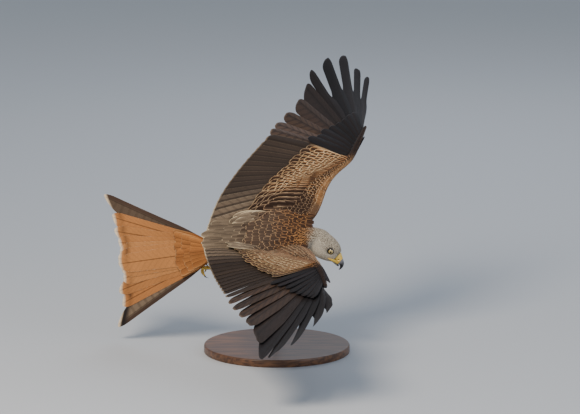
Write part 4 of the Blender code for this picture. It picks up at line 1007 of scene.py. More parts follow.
# Scapulars: large feathers from the shoulder back over the root of the wing
scapular = {
    "roots": ((180.0, 33.0, 34.0), (172.0, 62.0, 47.0)),
    "ends": ((50.0, 15.0, 49.0), (64.0, 50.0, 67.0)),
    "count": 5,
    "tilt": math.radians(9.0),
    # feathers in the row, reach, width and length
    "rows": ((8, 1.0, 30.0, 92.0), (9, 0.84, 27.0, 74.0), (9, 0.69, 24.0, 58.0), (9, 0.55, 21.0, 46.0),
             (9, 0.42, 18.0, 38.0), (9, 0.30, 16.0, 34.0), (9, 0.20, 14.0, 30.0)),
    "ground": ("85745f", "94826c", "6f6050"),
    "edge": ("e0d0b0", "cdb993"),
}
# The cape: the longest feathers of the back, which hide the roots of both wings and of the tail
cape = {
    "roots": ((178.0, -46.0, 41.0), (186.0, -24.0, 46.0), (190.0, 0.0, 47.0), (186.0, 24.0, 45.0),
              (176.0, 46.0, 40.0)),
    "ends": ((4.0, -52.0, 58.0), (-2.0, -28.0, 59.0), (-17.0, -2.0, 58.0), (-22.0, 24.0, 55.0),
             (0.0, 44.0, 53.0)),
    "rows": ((8, 1.0, 35.0, 110.0), (9, 0.87, 31.0, 90.0), (10, 0.75, 28.0, 74.0), (11, 0.64, 25.0, 60.0),
             (11, 0.54, 22.0, 50.0), (11, 0.45, 19.0, 42.0), (12, 0.36, 17.0, 36.0), (12, 0.27, 15.0, 32.0),
             (13, 0.18, 13.0, 30.0)),
}
# The mantle: the small feathers between the neck and the cape, from one shoulder to the other
mantle = {
    "roots": ((315.0, 211.5, -8.0), (313.0, 222.5, 10.0), (311.5, 232.0, 30.0), (308.5, 242.0, 40.0),
              (306.0, 250.0, 54.0)),
    "ends": ((100.0, -60.0, 54.0), (100.0, -30.0, 57.0), (100.0, 0.0, 57.0), (100.0, 30.0, 56.0),
             (100.0, 56.0, 52.0)),
    "rows": ((13, 1.0, 17.0, 42.0), (14, 0.89, 15.5, 40.0), (15, 0.79, 14.0, 38.0), (16, 0.70, 13.0, 35.0),
             (17, 0.61, 12.0, 33.0), (18, 0.53, 11.0, 31.0), (19, 0.45, 10.0, 29.0), (20, 0.38, 9.5, 27.0),
             (21, 0.31, 9.0, 25.0), (22, 0.24, 8.5, 24.0), (23, 0.18, 8.0, 22.0), (24, 0.12, 7.5, 20.0)),
}


def layRows(name, sheet, rows, seed, grounds, edges):
    # shingles: each row of large feathers covers the roots of the longer row behind it
    rng = np.random.default_rng(seed)
    across, face = vaneRing(7)
    t = 1.0 - (1.0 - np.linspace(0.0, 1.0, 12)) ** 1.4
    shape = {**covertShape, **shingleWidth}
    last = len(sheet.roots) - 1.0
    pieces, reaches, lengths = [], [], []
    for count, reach, wide, long in rows:
        place = np.linspace(-0.2, last + 0.2, count) + rng.uniform(-0.13, 0.13, count)
        far = sheet.length(place)
        end = reach + rng.uniform(-0.13, 0.10, count) * long / far
        begin = end - long * rng.uniform(0.92, 1.08, count) / far
        half = wide * 0.5 * rng.uniform(0.9, 1.1, count)
        pieces.append(layOnSheet(sheet, place, begin, end, (-3.4, 1.3), half, half, t, across, face, shape))
        reaches.append(np.full(count, reach))
        lengths.append(np.full(count, long))
    points, reaches, lengths = (np.concatenate(part) for part in (pieces, reaches, lengths))
    count = len(points)
    fringe = 1.5 / lengths
    share = smoothStep(0.74, 0.34, reaches + rng.normal(0.0, 0.05, count))
    ground = blendBy(share, tints(rng, count, grounds[0], 0.14, fringe),
                     tints(rng, count, grounds[1], 0.14, fringe))
    edge = blendBy(share, tints(rng, count, edges[0], 0.08, 0.95), tints(rng, count, edges[1], 0.1, 0.95))
    streak = blendBy(share, tints(rng, count, ("4a3d33",), 0.1, 0.45),
                     tints(rng, count, streakHexes, 0.1, 0.85))
    patch = np.stack((np.linspace(0.1, 0.9, count), np.full(count, 0.5)), axis=1)
    featherPiece(name, points, across, t, (ground, edge, streak), patch, covertMaterial)


def layScapulars(name, wing):
    flip = np.array((1.0, wing["side"], 1.0))
    share = np.linspace(0.0, 1.0, scapular["count"])[:, None]
    lines = []
    for marks in (scapular["roots"], scapular["ends"]):
        line = np.array(marks[0]) + (np.array(marks[1]) - np.array(marks[0])) * share
        lines.append(np.array([trunkPoint(*mark) for mark in line * flip]))
    sheet = Sheet(*lines, np.full(scapular["count"], 4.0), scapular["tilt"])
    layRows(name, sheet, scapular["rows"], wing["seed"] + 70,
            (scapular["ground"], mantleFeather["ground"]), (scapular["edge"], mantleFeather["edge"]))


def layBack():
    lines = [np.array([trunkPoint(*mark) for mark in cape[key]]) for key in ("roots", "ends")]
    sheet = Sheet(*lines, np.full(len(cape["roots"]), 5.0), 0.0)
    layRows("backCape", sheet, cape["rows"], 41,
            (scapular["ground"], mantleFeather["ground"]), (scapular["edge"], mantleFeather["edge"]))
    roots = np.array([seen(mark) for mark in mantle["roots"]])
    sheet = Sheet(roots, np.array([trunkPoint(*mark) for mark in mantle["ends"]]), np.full(len(roots), 7.0),
                  0.0)
    layRows("mantleFeathers", sheet, mantle["rows"], 43,
            (mantleFeather["ground"], mantleFeather["front"]),
            (mantleFeather["edge"], mantleFeather["frontEdge"]))


# Alula: small stiff feathers on the thumb
alula = {"count": 4, "widths": (3.8, 7.4), "ground": ("1f1e22", "29272b")}


def layAlula(name, wing, sheet):
    rng = np.random.default_rng(wing["seed"] + 90)
    rears, fronts = wingMarks(wing)
    along = unit(fronts[5] - fronts[4])
    rearward = unit(rears[5] - fronts[5])
    up = sheet.normal(np.array(armCount + 3.0), np.array(0.0))
    index = np.arange(3.0)[:, None]
    roots = fronts[4] + along * 10.0 + rearward * (7.5 - 3.0 * index) + up * 3.5
    ends = seen(wing["alula"]) + rearward * (9.0 - 5.5 * index) - along * 9.0 * (2 - index) + up * 5.5
    line = Sheet(roots, ends, np.zeros(3), math.radians(12.0))
    place = np.linspace(0.0, 2.0, alula["count"])
    across, face = vaneRing(5)
    t = np.linspace(0.0, 1.0, 14)
    count = len(place)
    shape = {**covertShape, "most": 3.0}
    points = layOnSheet(line, place, np.full(count, -0.1), np.ones(count), (0.0, 0.0),
                        np.full(count, alula["widths"][0]), np.full(count, alula["widths"][1]), t, across,
                        face, shape)
    colours = (tints(rng, count, alula["ground"], 0.1, 0.1), tints(rng, count, ("4b4848",), 0.1, 0.5),
               tints(rng, count, ("121113",), 0.1, 0.3))
    patch = np.stack((np.linspace(0.1, 0.9, count), np.full(count, 0.5)), axis=1)
    featherPiece(name, points, across, t, colours, patch, flightMaterial)


for label, wing in (("left", leftWing), ("right", rightWing)):
    layScapulars(label + "Scapulars", wing)
    layAlula(label + "Alula", wing, wingSheet(wing))
layBack()


# Tail


def tailSheet():
    # twelve shafts from the end of the rump, fanned by an angle that grows faster towards the outside
    step = np.arange(12.0) - 5.5
    share = np.abs(step) / 5.5
    spread = np.where(step > 0.0, tail["rightSpread"], tail["leftSpread"])
    angle = np.sign(step) * spread * (0.5 * share**1.9 + 0.5 * share)
    length = np.array(tail["lengths"])[np.abs(step).astype(int)]
    roots = tailBase + tailBack * 14.0 - tailLeft * (step * 3.4)[:, None]
    way = tailBack * np.cos(angle)[:, None] - tailLeft * np.sin(angle)[:, None]
    return Sheet(roots, tailBase + way * length[:, None], np.full(12, 5.0), 0.0)


def stackOrder(count):
    # rank from the top: the middle pair first, right before left
    step = np.arange(count) - (count - 1) / 2.0
    order = sorted(range(count), key=lambda i: (abs(step[i]), -step[i]))
    rank = np.empty(count)
    rank[order] = np.arange(count)
    return rank


def layTail():
    rng = np.random.default_rng(5)
    tint = functools.partial(tints, rng, 12)
    sheet = tailSheet()
    place = np.arange(12.0)
    step = place - 5.5
    share = 0.5 - 0.042 * np.abs(step)
    width = np.array(tail["widths"])[np.abs(step).astype(int)]
    outer = width * np.where(step > 0.0, share, 1.0 - share)
    lift = tail["stackTop"] - tail["stackStep"] * stackOrder(12)
    t = 1.0 - (1.0 - np.linspace(0.0, 1.0, 30)) ** 1.5
    across, face = vaneRing(9)
    shape = {"width": lambda t: widthAlong(t, 0.12, 0.30, 0.87, 0.14), "thick": 0.7, "shaft": 1.2,
             "camber": 0.012, "most": 9.0}
    end = 1.0 + rng.uniform(-0.035, 0.006, 12) * (np.abs(step) < 5.0)
    points = layOnSheet(sheet, place, -8.0 / sheet.length(place), end, (lift, lift), outer, width - outer,
                        t, across, face, shape)
    # the outermost pair: dark outer web, pale grey inner web; the rest rufous with dark bars
    outermost = (np.abs(step) > 5.0)[:, None, None, None]
    outerWeb = (np.sign(step)[:, None] * across[None] > 0.05)[:, None, :, None]
    rufous = tint(("b97c48", "c28752", "ae7040"), 0.06, 0.9)
    pale = np.where((step > 0.0)[:, None, None, None], tint(("7f6c59",), 0.04, 3.0),
                    tint(("5f4f41",), 0.04, 2.0))
    darkWeb = tint(("4b3a30",), 0.04, 0.5)
    ground = np.where(outermost, np.where(outerWeb, darkWeb, pale), rufous)
    under = tint(("c9a583", "bf9a78"), 0.05, 0.6)
    ground = np.where((face < 0.0)[None, None, :, None], under,
                      np.broadcast_to(ground, (12, 1, len(face), 4)))
    smudge = np.exp(-(((t - 0.905) / 0.028) ** 2))[None, :, None, None]
    smudge = smudge * rng.uniform(0.1, 0.8, (12, 1, 1, 1))
    smudge = smudge * np.where(across < 0.0, 1.0, 0.45)[None, None, :, None] * ~outermost
    ground = ground * (1.0 - smudge) + tint(("3a2a20",), 0.02, 0.4) * smudge
    tipDark = smoothStep(0.86, 0.93, t)[None, :, None, None] * outermost * (step > 0.0)[:, None, None, None]
    ground = ground * (1.0 - tipDark) + tint(("2a2422",), 0.02, 0.2) * tipDark
    edge = tint(("ecd3b0", "f3e2c8"), 0.04, 1.0)
    streak = tint(("2b1d16",), 0.05, 0.3)
    patch = np.stack((0.05 + 0.9 * place / 12.0, np.full(12, 0.5)), axis=1)
    featherPiece("tailFeathers", points, across, t, (ground, edge, streak), patch, tailMaterial)


tailTiers = (
    # count, lift of the top one, step between two, reach, width, and whether it lies on top
    (9, 11.8, 0.55, 98.0, 30.0, True),
    (8, 14.2, 0.5, 74.0, 26.0, True),
    (7, 16.0, 0.5, 52.0, 22.0, True),
    (9, -6.4, -0.55, 112.0, 32.0, False),
    (8, -8.8, -0.5, 84.0, 28.0, False),
    (7, -10.6, -0.5, 58.0, 24.0, False),
)


def layTailCoverts():
    rng = np.random.default_rng(6)
    sheet = tailSheet()
    across, face = vaneRing(5)
    t = np.linspace(0.0, 1.0, 14)
    pieces = []
    for count, lift, gap, reach, wide, upper in tailTiers:
        place = np.linspace(1.2, 9.8, count) + rng.uniform(-0.1, 0.1, count)
        length = sheet.length(place)
        level = lift - gap * stackOrder(count)
        shape = {**covertShape, "most": 9.0, "camber": 0.08 if upper else -0.08}
        half = np.full(count, wide / 2.0) * rng.uniform(0.9, 1.1, count)
        end = reach / length * rng.uniform(0.93, 1.04, count)
        pieces.append(layOnSheet(sheet, place, -6.0 / length, end, (level, level * 0.9), half, half, t,
                                 across, face, shape))
    points = np.concatenate(pieces)
    count = len(points)
    colours = (tints(rng, count, ("b0713c", "bb7c45", "a06538"), 0.1, 0.02),
               tints(rng, count, ("d8a876", "cb9560"), 0.08, 0.6),
               tints(rng, count, ("6b4022",), 0.1, 0.35))
    patch = np.stack((np.linspace(0.1, 0.9, count), np.full(count, 0.5)), axis=1)
    featherPiece("tailCoverts", points, across, t, colours, patch, covertMaterial)


layTail()
layTailCoverts()
print("tail made")


# Body plumage, from the rump to the face: feathers grow shorter towards the bill

coat = {
    # ring of the body grid, gap between rows, pitch along them, and each feather's length and width
    "sizes": ((0.0, 7.0, 9.0, 34.0, 15.0), (3.0, 7.0, 9.0, 32.0, 15.0), (6.0, 7.5, 9.5, 34.0, 16.0),
              (9.0, 6.5, 8.0, 28.0, 13.0), (11.0, 4.6, 5.6, 22.0, 8.5), (13.0, 3.6, 4.4, 17.0, 6.5),
              (15.0, 2.9, 3.0, 14.0, 4.0), (17.0, 2.3, 2.4, 10.5, 3.2), (19.0, 1.9, 2.0, 7.0, 2.7),
              (20.6, 1.6, 1.8, 4.5, 2.3)),
    "eyeRoom": 11.0,
    "mantle": ("4a3527", "3b2a20", "5b4130"),
    "mantleEdge": ("b07c4d", "986a45", "c59767"),
    "fringe": 0.06,
    "rump": ("99623a", "8a5531"),
    "belly": ("8f5733", "a1673e", "7c4a2c"),
    "bellyEdge": ("c18e60",),
    "neck": ("855a38", "94683f", "6f4c33"),
    "neckEdge": ("cf9f68", "bd8a58"),
    "crown": ("ab9e8a", "b9ae9a", "978a75"),
    "crownEdge": ("e9e1d0",),
    "cheek": ("cbc2b0", "bdb29e"),
    "shadedThroat": ("b9ae9b", "a99d88"),
}
eye = {"place": (14.0, 6.0, 15.5), "radius": 8.2, "forwardLean": 0.28, "downLean": -0.04}


def eyeOut(side):
    return unit(headRight * side + headForward * eye["forwardLean"] + headUp * eye["downLean"])


def eyeCentre(side):
    return headPoint(eye["place"][0], eye["place"][1], eye["place"][2] * side)


def rowMarks(start, end):
    marks = [start]
    rows = np.array(coat["sizes"])
    middle = bodyRings.mean(axis=1)
    while marks[-1] < end:
        here = marks[-1]
        gap = np.interp(here, rows[:, 0], rows[:, 1])
        slope = np.linalg.norm(readLine(middle, here + 0.1) - readLine(middle, here - 0.1)) / 0.2
        marks.append(here + gap / max(slope, 3.0))
    return np.array(marks[:-1])


def coatColours(rng, s, q, place):
    # mantle, belly, neck and head each have their own colours, blended over a few feathers
    count, fringe = len(s), coat["fringe"]
    tint = functools.partial(tints, rng, count)
    turn = q / body["sides"] * 2.0 * math.pi
    upness = np.sin(turn) + rng.normal(0.0, 0.12, count)
    s = s + rng.normal(0.0, 0.15, count)
    above = smoothStep(-0.15, 0.35, upness)
    ground = blendBy(above, tint(coat["belly"], 0.12, fringe), tint(coat["mantle"], 0.14, fringe))
    edge = blendBy(above, tint(coat["bellyEdge"], 0.1, 0.7), tint(coat["mantleEdge"], 0.12, 0.9))
    streak = tint(("1f1713", "2b1d16"), 0.1, 0.9)
    rump = smoothStep(4.4, 2.6, s)
    ground = blendBy(rump, ground, tint(coat["rump"], 0.1, fringe))
    edge = blendBy(rump, edge, tint(("cf9a66",), 0.1, 0.8))
    neck = smoothStep(9.0, 11.5, s)
    ground = blendBy(neck, ground, tint(coat["neck"], 0.14, fringe))
    edge = blendBy(neck, edge, tint(coat["neckEdge"], 0.1, 0.9))
    head = smoothStep(12.6, 14.8, s + 0.5 * np.sin(turn))
    cheek = smoothStep(0.5, 0.1, upness)
    crown = blendBy(cheek, tint(coat["crown"], 0.1, 0.12), tint(coat["cheek"], 0.07, 0.12))
    # painted shade: the underside of the head takes a darker grey than the cheek
    crown = blendBy(smoothStep(-0.35, -0.75, upness), crown, tint(coat["shadedThroat"], 0.08, 0.12))
    ground = blendBy(head, ground, crown)
    edge = blendBy(head, edge, tint(coat["crownEdge"], 0.06, 0.6))
    fine = blendBy(cheek, tint(("463a2f", "3a3028"), 0.1, 1.0), tint(("7d7264",), 0.1, 0.45))
    streak = blendBy(head, streak, fine)
    # dark shade before and behind the eye
    for side in (-1.0, 1.0):
        away = place - eyeCentre(side)
        along, high = away @ headForward, away @ headUp
        shade = np.exp(-((along + 12.0) / 12.0) ** 2 - ((high + 2.0) / 5.0) ** 2)
        shade = shade + 0.9 * np.exp(-((along - 12.0) / 6.0) ** 2 - (high / 5.0) ** 2)
        shade = np.clip(shade, 0.0, 1.0) * (np.linalg.norm(away, axis=1) < 40.0) * 0.7
        ground = blendBy(shade, ground, tint(("6a5e50",), 0.1, 0.12))
    return ground, edge, streak


def layCoat(name, start, end, stations, material=bodyMaterial):
    rng = np.random.default_rng(int(start * 10) + 900)
    sizes = np.array(coat["sizes"])
    marks = rowMarks(start, end)
    pitch = np.interp(marks, sizes[:, 0], sizes[:, 2])
    s, q, _ = strewRings(bodyRings, marks, pitch, rng)
    place = surfaceAt(bodyRings, s, q)
    free = np.ones(len(s), bool)
    for side in (-1.0, 1.0):
        away = place - eyeCentre(side)
        aside = away - (away @ eyeOut(side))[:, None] * eyeOut(side) - headForward * 1.8
        near = (np.linalg.norm(aside, axis=1) < coat["eyeRoom"]) & (away @ eyeOut(side) > 0.0)
        free &= ~near
    s, q, place = s[free], q[free], place[free]
    count = len(s)
    length = np.interp(s, sizes[:, 0], sizes[:, 3]) * rng.uniform(0.88, 1.12, count)
    width = np.interp(s, sizes[:, 0], sizes[:, 4]) * rng.uniform(0.9, 1.1, count)
    lean = rng.normal(0.0, 0.09, count)
    t = np.linspace(0.0, 1.0, stations)
    across, face = vaneRing(3 if stations < 6 else 5)
    shape = {**smallShape, "root": -1.2, "tip": 1.6, "droop": 0.10, "thick": 0.35,
             "width": lambda t: widthAlong(t, 0.35, 0.4, 0.5, 0.12)}
    points = layOnSkin(bodyRings, s, q, length, width, lean, t, across, face, shape)
    colours = coatColours(rng, s, q, place)
    patch = np.stack((0.03 + 0.94 * q / body["sides"], 0.03 + 0.94 * s / 21.0), axis=1)
    samples.append((points[:, 0].mean(axis=1), colours[0]))
    featherPiece(name, points, across, t, colours, patch, material)


layCoat("bodyPlumage", 0.0, 9.6, 7)
layCoat("neckPlumage", 9.6, 14.2, 6)
layCoat("headPlumage", 14.2, 18.4, 5, headMaterial)
layCoat("facePlumage", 18.4, 20.9, 4, headMaterial)
print("body plumage made")


# Thighs: soft rufous trousers down to the heel

leg = {
    "hip": (112.0, 30.0, -34.0),
    "knee": (84.0, 38.0, -54.0),
    "heel": (8.0, 22.0, -49.0),
    "radii": (26.0, 24.0, 17.0, 9.0),
}


def tubeGrid(path, radii, sides, firstAxis):
    # rings square to the path, turned as little as they can be from one to the next
    ahead = unit(np.gradient(path, axis=0))
    side = unit(firstAxis - dot(ahead, firstAxis) * ahead)
    up = np.cross(ahead, side)
    turn = np.linspace(0.0, 2.0 * math.pi, sides, endpoint=False)[None, :, None]
    return path[:, None] + (side[:, None] * np.cos(turn) + up[:, None]
                            * np.sin(turn)) * np.asarray(radii)[:, None, None]


def thighGrid(side):
    marks = np.array([trunkPoint(a, r * side, u) for a, r, u in (leg["hip"], leg["knee"], leg["heel"])])
    share = np.linspace(0.0, 1.0, 11)
    radii = readLine(np.array(leg["radii"])[:, None], share * 3.0)[:, 0]
    return tubeGrid(readLine(marks, share * 2.0), radii, 16, np.array((0.0, 0.0, 1.0)))


def layThigh(name, side):
    rng = np.random.default_rng(int(300 + side))
    grid = thighGrid(side)[::-1]
    marks = np.linspace(0.1, 9.4, 22)
    s, q, _ = strewRings(grid, marks, np.interp(marks, (0.0, 9.0), (4.2, 8.0)), rng)
    count = len(s)
    length = np.interp(s, (0.0, 9.0), (15.0, 27.0)) * rng.uniform(0.9, 1.1, count)
    width = np.interp(s, (0.0, 9.0), (6.5, 11.0))
    t = np.linspace(0.0, 1.0, 6)
    across, face = vaneRing(5)
    points = layOnSkin(grid, s, q, length, width, rng.normal(0.0, 0.1, count), t, across, face,
                       {**smallShape, "root": -1.2, "tip": 1.2, "thick": 0.35})
    colours = (tints(rng, count, ("a5683c", "935a34"), 0.12, 0.06),
               tints(rng, count, ("cf9d6d",), 0.1, 0.7), tints(rng, count, ("3d261a",), 0.1, 0.7))
    patch = np.stack((0.03 + 0.94 * q / 16.0, 0.03 + 0.94 * s / 10.0), axis=1)
    samples.append((points[:, 0].mean(axis=1), colours[0]))
    featherPiece(name, points, across, t, colours, patch, bodyMaterial)


layThigh("leftThighPlumage", -1.0)
layThigh("rightThighPlumage", 1.0)


# Skin under all the feathers: one closed surface, inside the solids by the coat's depth


def inset(grid, depth):
    # every point moves in along the way out of the surface
    s, q = np.meshgrid(np.arange(len(grid), dtype=float), np.arange(grid.shape[1], dtype=float),
                       indexing="ij")
    return grid - frameAt(grid, s, q)[3] * depth


def finerGrid(grid, rings, sides):
    s, q = np.meshgrid(np.linspace(0.0, len(grid) - 1.0, rings), np.arange(sides) * grid.shape[1] / sides,
                       indexing="ij")
    return surfaceAt(grid, s, q)


skin = {
    "voxel": 0.0022,
    "smoothings": 3,
    "wingShare": 0.86,
    "thighDepth": 2.0,
    # round each eye, in mm: where the socket begins and ends, its height at the lid and its rise outwards
    "socket": (8.4, 12.5),
    "socketDepth": 2.2,
    "socketEase": 7.0,
    # how many feather roots lend it their colour, and in how many blocks they are compared
    "colourRoots": 1600,
    "blocks": 60,
    "seed": 77,
}


def makeSkin():
    # the forms are joined by a fine voxel remesh, and each point takes the nearest feather root's colour
    parts = [inset(finerGrid(bodyRings, 90, 72), body["skinDepth"])]
    for wing in (leftWing, rightWing):
        grid = wingGrid(wing)
        middle = grid.mean(axis=1, keepdims=True)
        parts.append(middle + (grid - middle) * skin["wingShare"])
    for side in (-1.0, 1.0):
        grid = thighGrid(side)
        parts.append(inset(finerGrid(grid, 24, 32), skin["thighDepth"]))
    points, faces, count = [], [], 0
    for grid in parts:
        sides = grid.shape[1]
        if sides % 2:
            grid = finerGrid(grid, len(grid), sides + 1)
        some, quads = closedLoft(grid)
        points.append(some)
        faces.append(quads + count)
        count += len(some)
    piece = newMesh("skin", toWorld(np.concatenate(points)), np.concatenate(faces))
    outwards(piece)
    remesh = piece.modifiers.new("remesh", "REMESH")
    remesh.mode = "VOXEL"
    remesh.voxel_size = skin["voxel"]
    smooth = piece.modifiers.new("smooth", "SMOOTH")
    smooth.iterations = skin["smoothings"]
    bpy.context.view_layer.update()
    made = bpy.data.meshes.new_from_object(piece.evaluated_get(bpy.context.evaluated_depsgraph_get()))
    piece.modifiers.clear()
    piece.data = made
    made.polygons.foreach_set("use_smooth", np.ones(len(made.polygons), bool))
    spots = np.empty(len(made.vertices) * 3, np.float32)
    made.vertices.foreach_get("co", spots)
    spots = spots.reshape(-1, 3)
    # a socket round each eye: near its axis the skin goes down to the lid
    for side in (-1.0, 1.0):
        centre = toWorld(eyeCentre(side))
        out = unit(toWorld(eyeCentre(side) + eyeOut(side)) - centre)
        away = (spots - centre) * 1000.0
        high = away @ out
        aside = np.linalg.norm(away - high[:, None] * out, axis=1)
        limit = skin["socketDepth"] + skin["socketEase"] * smoothStep(*skin["socket"], aside)
        down = np.where((aside < skin["socket"][1]) & (high > 0.0), np.minimum(limit - high, 0.0), 0.0)
        spots = spots + (down[:, None] * out / 1000.0).astype(np.float32)
    made.vertices.foreach_set("co", spots.ravel())
    rng = np.random.default_rng(skin["seed"])
    roots = toWorld(np.concatenate([place for place, _ in samples])).astype(np.float32)
    shades = np.concatenate([ground[:, 0, 0] for _, ground in samples])
    chosen = rng.permutation(len(roots))[:skin["colourRoots"]]
    roots, shades = roots[chosen], shades[chosen]
    nearest = np.concatenate([np.argmin(((block[:, None] - roots[None]) ** 2).sum(axis=-1), axis=1)
                              for block in np.array_split(spots, skin["blocks"])])
    addColour(made, "ground", shades[nearest])
    # Skin and down: a matt warm surface that only shows between feathers
    material, node, shader = newMaterial("downySkin", {"Roughness": 0.95})
    colour = node("Attribute", {"attribute_name": "ground", "attribute_type": "GEOMETRY"})
    place = node("TexCoord").node.outputs["Object"]
    fluff = node("TexNoise", values={"Scale": 700.0, "Detail": 2.0, "Vector": place})
    dim = node("MapRange", smoothRange, (fluff, 0.3, 0.7, 0.5, 0.85))
    scaled = node("VectorMath", {"operation": "SCALE"}, (colour, dim))
    relief = node("Bump", values={"Strength": 0.6, "Distance": 0.0006, "Height": fluff})
    setSockets(shader, {"Base Color": scaled, "Normal": relief})
    ridePiece(piece, material)
    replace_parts(piece, "torso", "neck", "head", "leg_left", "leg_right", "wing_left_arm", "wing_right_arm",
                "wing_left_hand", "wing_right_hand", "tail")
    print("skin", len(made.polygons), "faces")


makeSkin()


# Eyes


def eyeAxes(side):
    out = eyeOut(side)
    ahead = unit(headForward - out * (headForward @ out))
    return out, ahead, np.cross(out, ahead)


def makeEye(name, node, side):
    # a ball whose pole looks outwards; the map holds the turn and the angle from the pole
    out, ahead, up = eyeAxes(side)
    rings, sides = 49, 64
    angle = np.linspace(0.004, math.pi - 0.004, rings)[:, None, None]
    turn = np.linspace(0.0, 2.0 * math.pi, sides, endpoint=False)[None, :, None]
    # the clear front bulges a little over the iris
    bulge = 1.0 + 0.035 * np.exp(-((angle / 0.62) ** 4))
    radius = eye["radius"] * bulge
    grid = eyeCentre(side) + radius * (out * np.cos(angle) + (ahead * np.cos(turn) + up * np.sin(turn))
                                       * np.sin(angle))
    points, faces = closedLoft(grid)
    piece = newMesh(name, toWorld(points), faces)
    outwards(piece)
    places = np.stack(np.broadcast_arrays(turn[..., 0] / (2 * math.pi), angle[..., 0] / math.pi),
                      axis=-1).reshape(-1, 2)
    places = np.concatenate((places, [(0.0, 0.0), (0.0, 1.0)]))
    addMap(piece.data, "iris", places)
    ridePiece(piece, eyeMaterial)
    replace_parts(piece, node)


def makeEyeMaterial():
    # A wet living eye: clear cornea over a pale amber iris with fine fibres, a black pupil and a dark rim
    material, node, shader = newMaterial("corneaOverIris", {
        "Roughness": 0.06, "Coat Weight": 1.0, "Coat Roughness": 0.02, "Specular IOR Level": 0.6})
    places = node("UVMap", {"uv_map": "iris"})
    turn, angle, _ = node("SeparateXYZ", values=(places,)).node.outputs
    fine = node("CombineXYZ", values=(node("Math", multiply, (turn, 60.0)),
                                      node("Math", multiply, (angle, 8.0))))
    fibres = node("TexNoise", values={"Scale": 1.0, "Detail": 3.0, "Vector": fine})
    amber = node("Mix", colourMix, (node("MapRange", smoothRange, (fibres, 0.3, 0.7)), linear("c9a04a"),
                                    linear("efd98c")))
    amber = node("Mix", colourMix, (node("MapRange", smoothRange, (angle, 0.19, 0.255)), amber,
                                    linear("7a5a24")))
    ringed = node("Mix", colourMix, (node("MapRange", smoothRange, (angle, 0.262, 0.275)), amber,
                                     linear("0d0a08")))
    whole = node("Mix", colourMix, (node("MapRange", smoothRange, (angle, 0.118, 0.106)), ringed,
                                    linear("050505")))
    setSockets(shader, {"Base Color": whole})
    return material


eyeMaterial = makeEyeMaterial()
makeEye("leftEye", "eye_left", -1.0)
makeEye("rightEye", "eye_right", 1.0)

eyelid = {"radius": 7.9, "out": 3.1, "thick": (1.9, 1.5)}


def makeEyelid(name, side, material):
    # a soft ring round the eye, a little flatter above where the brow presses on it
    out, ahead, up = eyeAxes(side)
    turn = np.linspace(0.0, 2.0 * math.pi, 72, endpoint=False)[:, None, None]
    small = np.linspace(0.0, 2.0 * math.pi, 14, endpoint=False)[None, :, None]
    flat = 1.0 - 0.10 * np.clip(np.sin(turn), 0.0, 1.0) ** 2
    spoke = ahead * np.cos(turn) + up * np.sin(turn) * flat
    middle = eyeCentre(side) + out * eyelid["out"] + spoke * eyelid["radius"]
    wrinkle = 1.0 + 0.07 * np.sin(turn * 23.0)
    grid = middle + (spoke * np.cos(small) * eyelid["thick"][0] + out * np.sin(small)
                     * eyelid["thick"][1]) * wrinkle
    rings, sides = grid.shape[:2]
    faces = loftFaces(rings + 1, sides) % (rings * sides)
    piece = newMesh(name, toWorld(grid), faces)
    outwards(piece)
    ridePiece(piece, material)


def makeLidMaterial():
    # Bare eyelid skin: dark grey, dry, with fine folds round the eye
    material, node, shader = newMaterial("bareLidSkin", {"Roughness": 0.55, "Base Color": linear("2a2420")})
    place = node("TexCoord").node.outputs["Object"]
    folds = node("TexNoise", values={"Scale": 1500.0, "Vector": place})
    setSockets(shader, {"Normal": node("Bump",
                                       values={"Strength": 0.4, "Distance": 0.0002, "Height": folds})})
    return material


lidMaterial = makeLidMaterial()
makeEyelid("leftEyelid", -1.0, lidMaterial)
makeEyelid("rightEyelid", 1.0, lidMaterial)


# Bill: cere, hooked upper half, lower half and the yellow gape

bill = {
    # distance forward, height, then half its height and width
    "cere": ((36.0, -0.2, 13.4, 9.6), (38.3, -0.7, 13.2, 9.3), (44.0, -2.7, 11.7, 8.3),
             (49.0, -4.6, 10.3, 7.2),
             (50.6, -5.2, 9.7, 6.8)),
    "upper": ((48.5, -4.5, 9.7, 6.7), (52.0, -5.8, 9.3, 6.4), (55.0, -7.4, 8.1, 5.6),
              (59.0, -10.6, 6.0, 4.3),
              (62.0, -15.5, 4.0, 3.0), (63.2, -21.0, 2.3, 1.8), (62.6, -27.5, 0.35, 0.3)),
    "lower": ((34.0, -18.0, 3.2, 8.6), (38.3, -18.4, 3.0, 7.6), (46.0, -18.8, 3.0, 6.4),
              (52.0, -19.1, 2.4, 4.4),
              (56.0, -19.2, 1.3, 1.8)),
    "nostril": (44.5, -3.0, 2.6, 1.3),
}


def billGrid(table, rings, sides, squareUntil, ridge):
    # ovals along the bent middle line; the power draws them to a narrower ridge on top
    table = np.array(table)
    fine = readLine(table, np.linspace(0.0, len(table) - 1.0, rings))
    middle = np.stack([headPoint(f, u, 0.0) for f, u in fine[:, :2]])
    ahead = unit(np.gradient(middle, axis=0))
    square = smoothStep(squareUntil, squareUntil + 6.0, fine[:, 0])[:, None]
    ahead = unit(headForward * (1.0 - square) + ahead * square)
    up = np.cross(headRight, ahead)
    turn = np.linspace(0.0, 2.0 * math.pi, sides, endpoint=False)[None, :]
    high = np.sin(turn) * np.maximum(fine[:, 2], 0.3)[:, None]
    wide = np.cos(turn) * np.maximum(fine[:, 3],
                                     0.25)[:, None] * (1.0 - ridge * np.clip(np.sin(turn), 0.0, 1.0) ** 2)
    return middle[:, None] + up[:, None] * high[..., None] + headRight * wide[..., None]


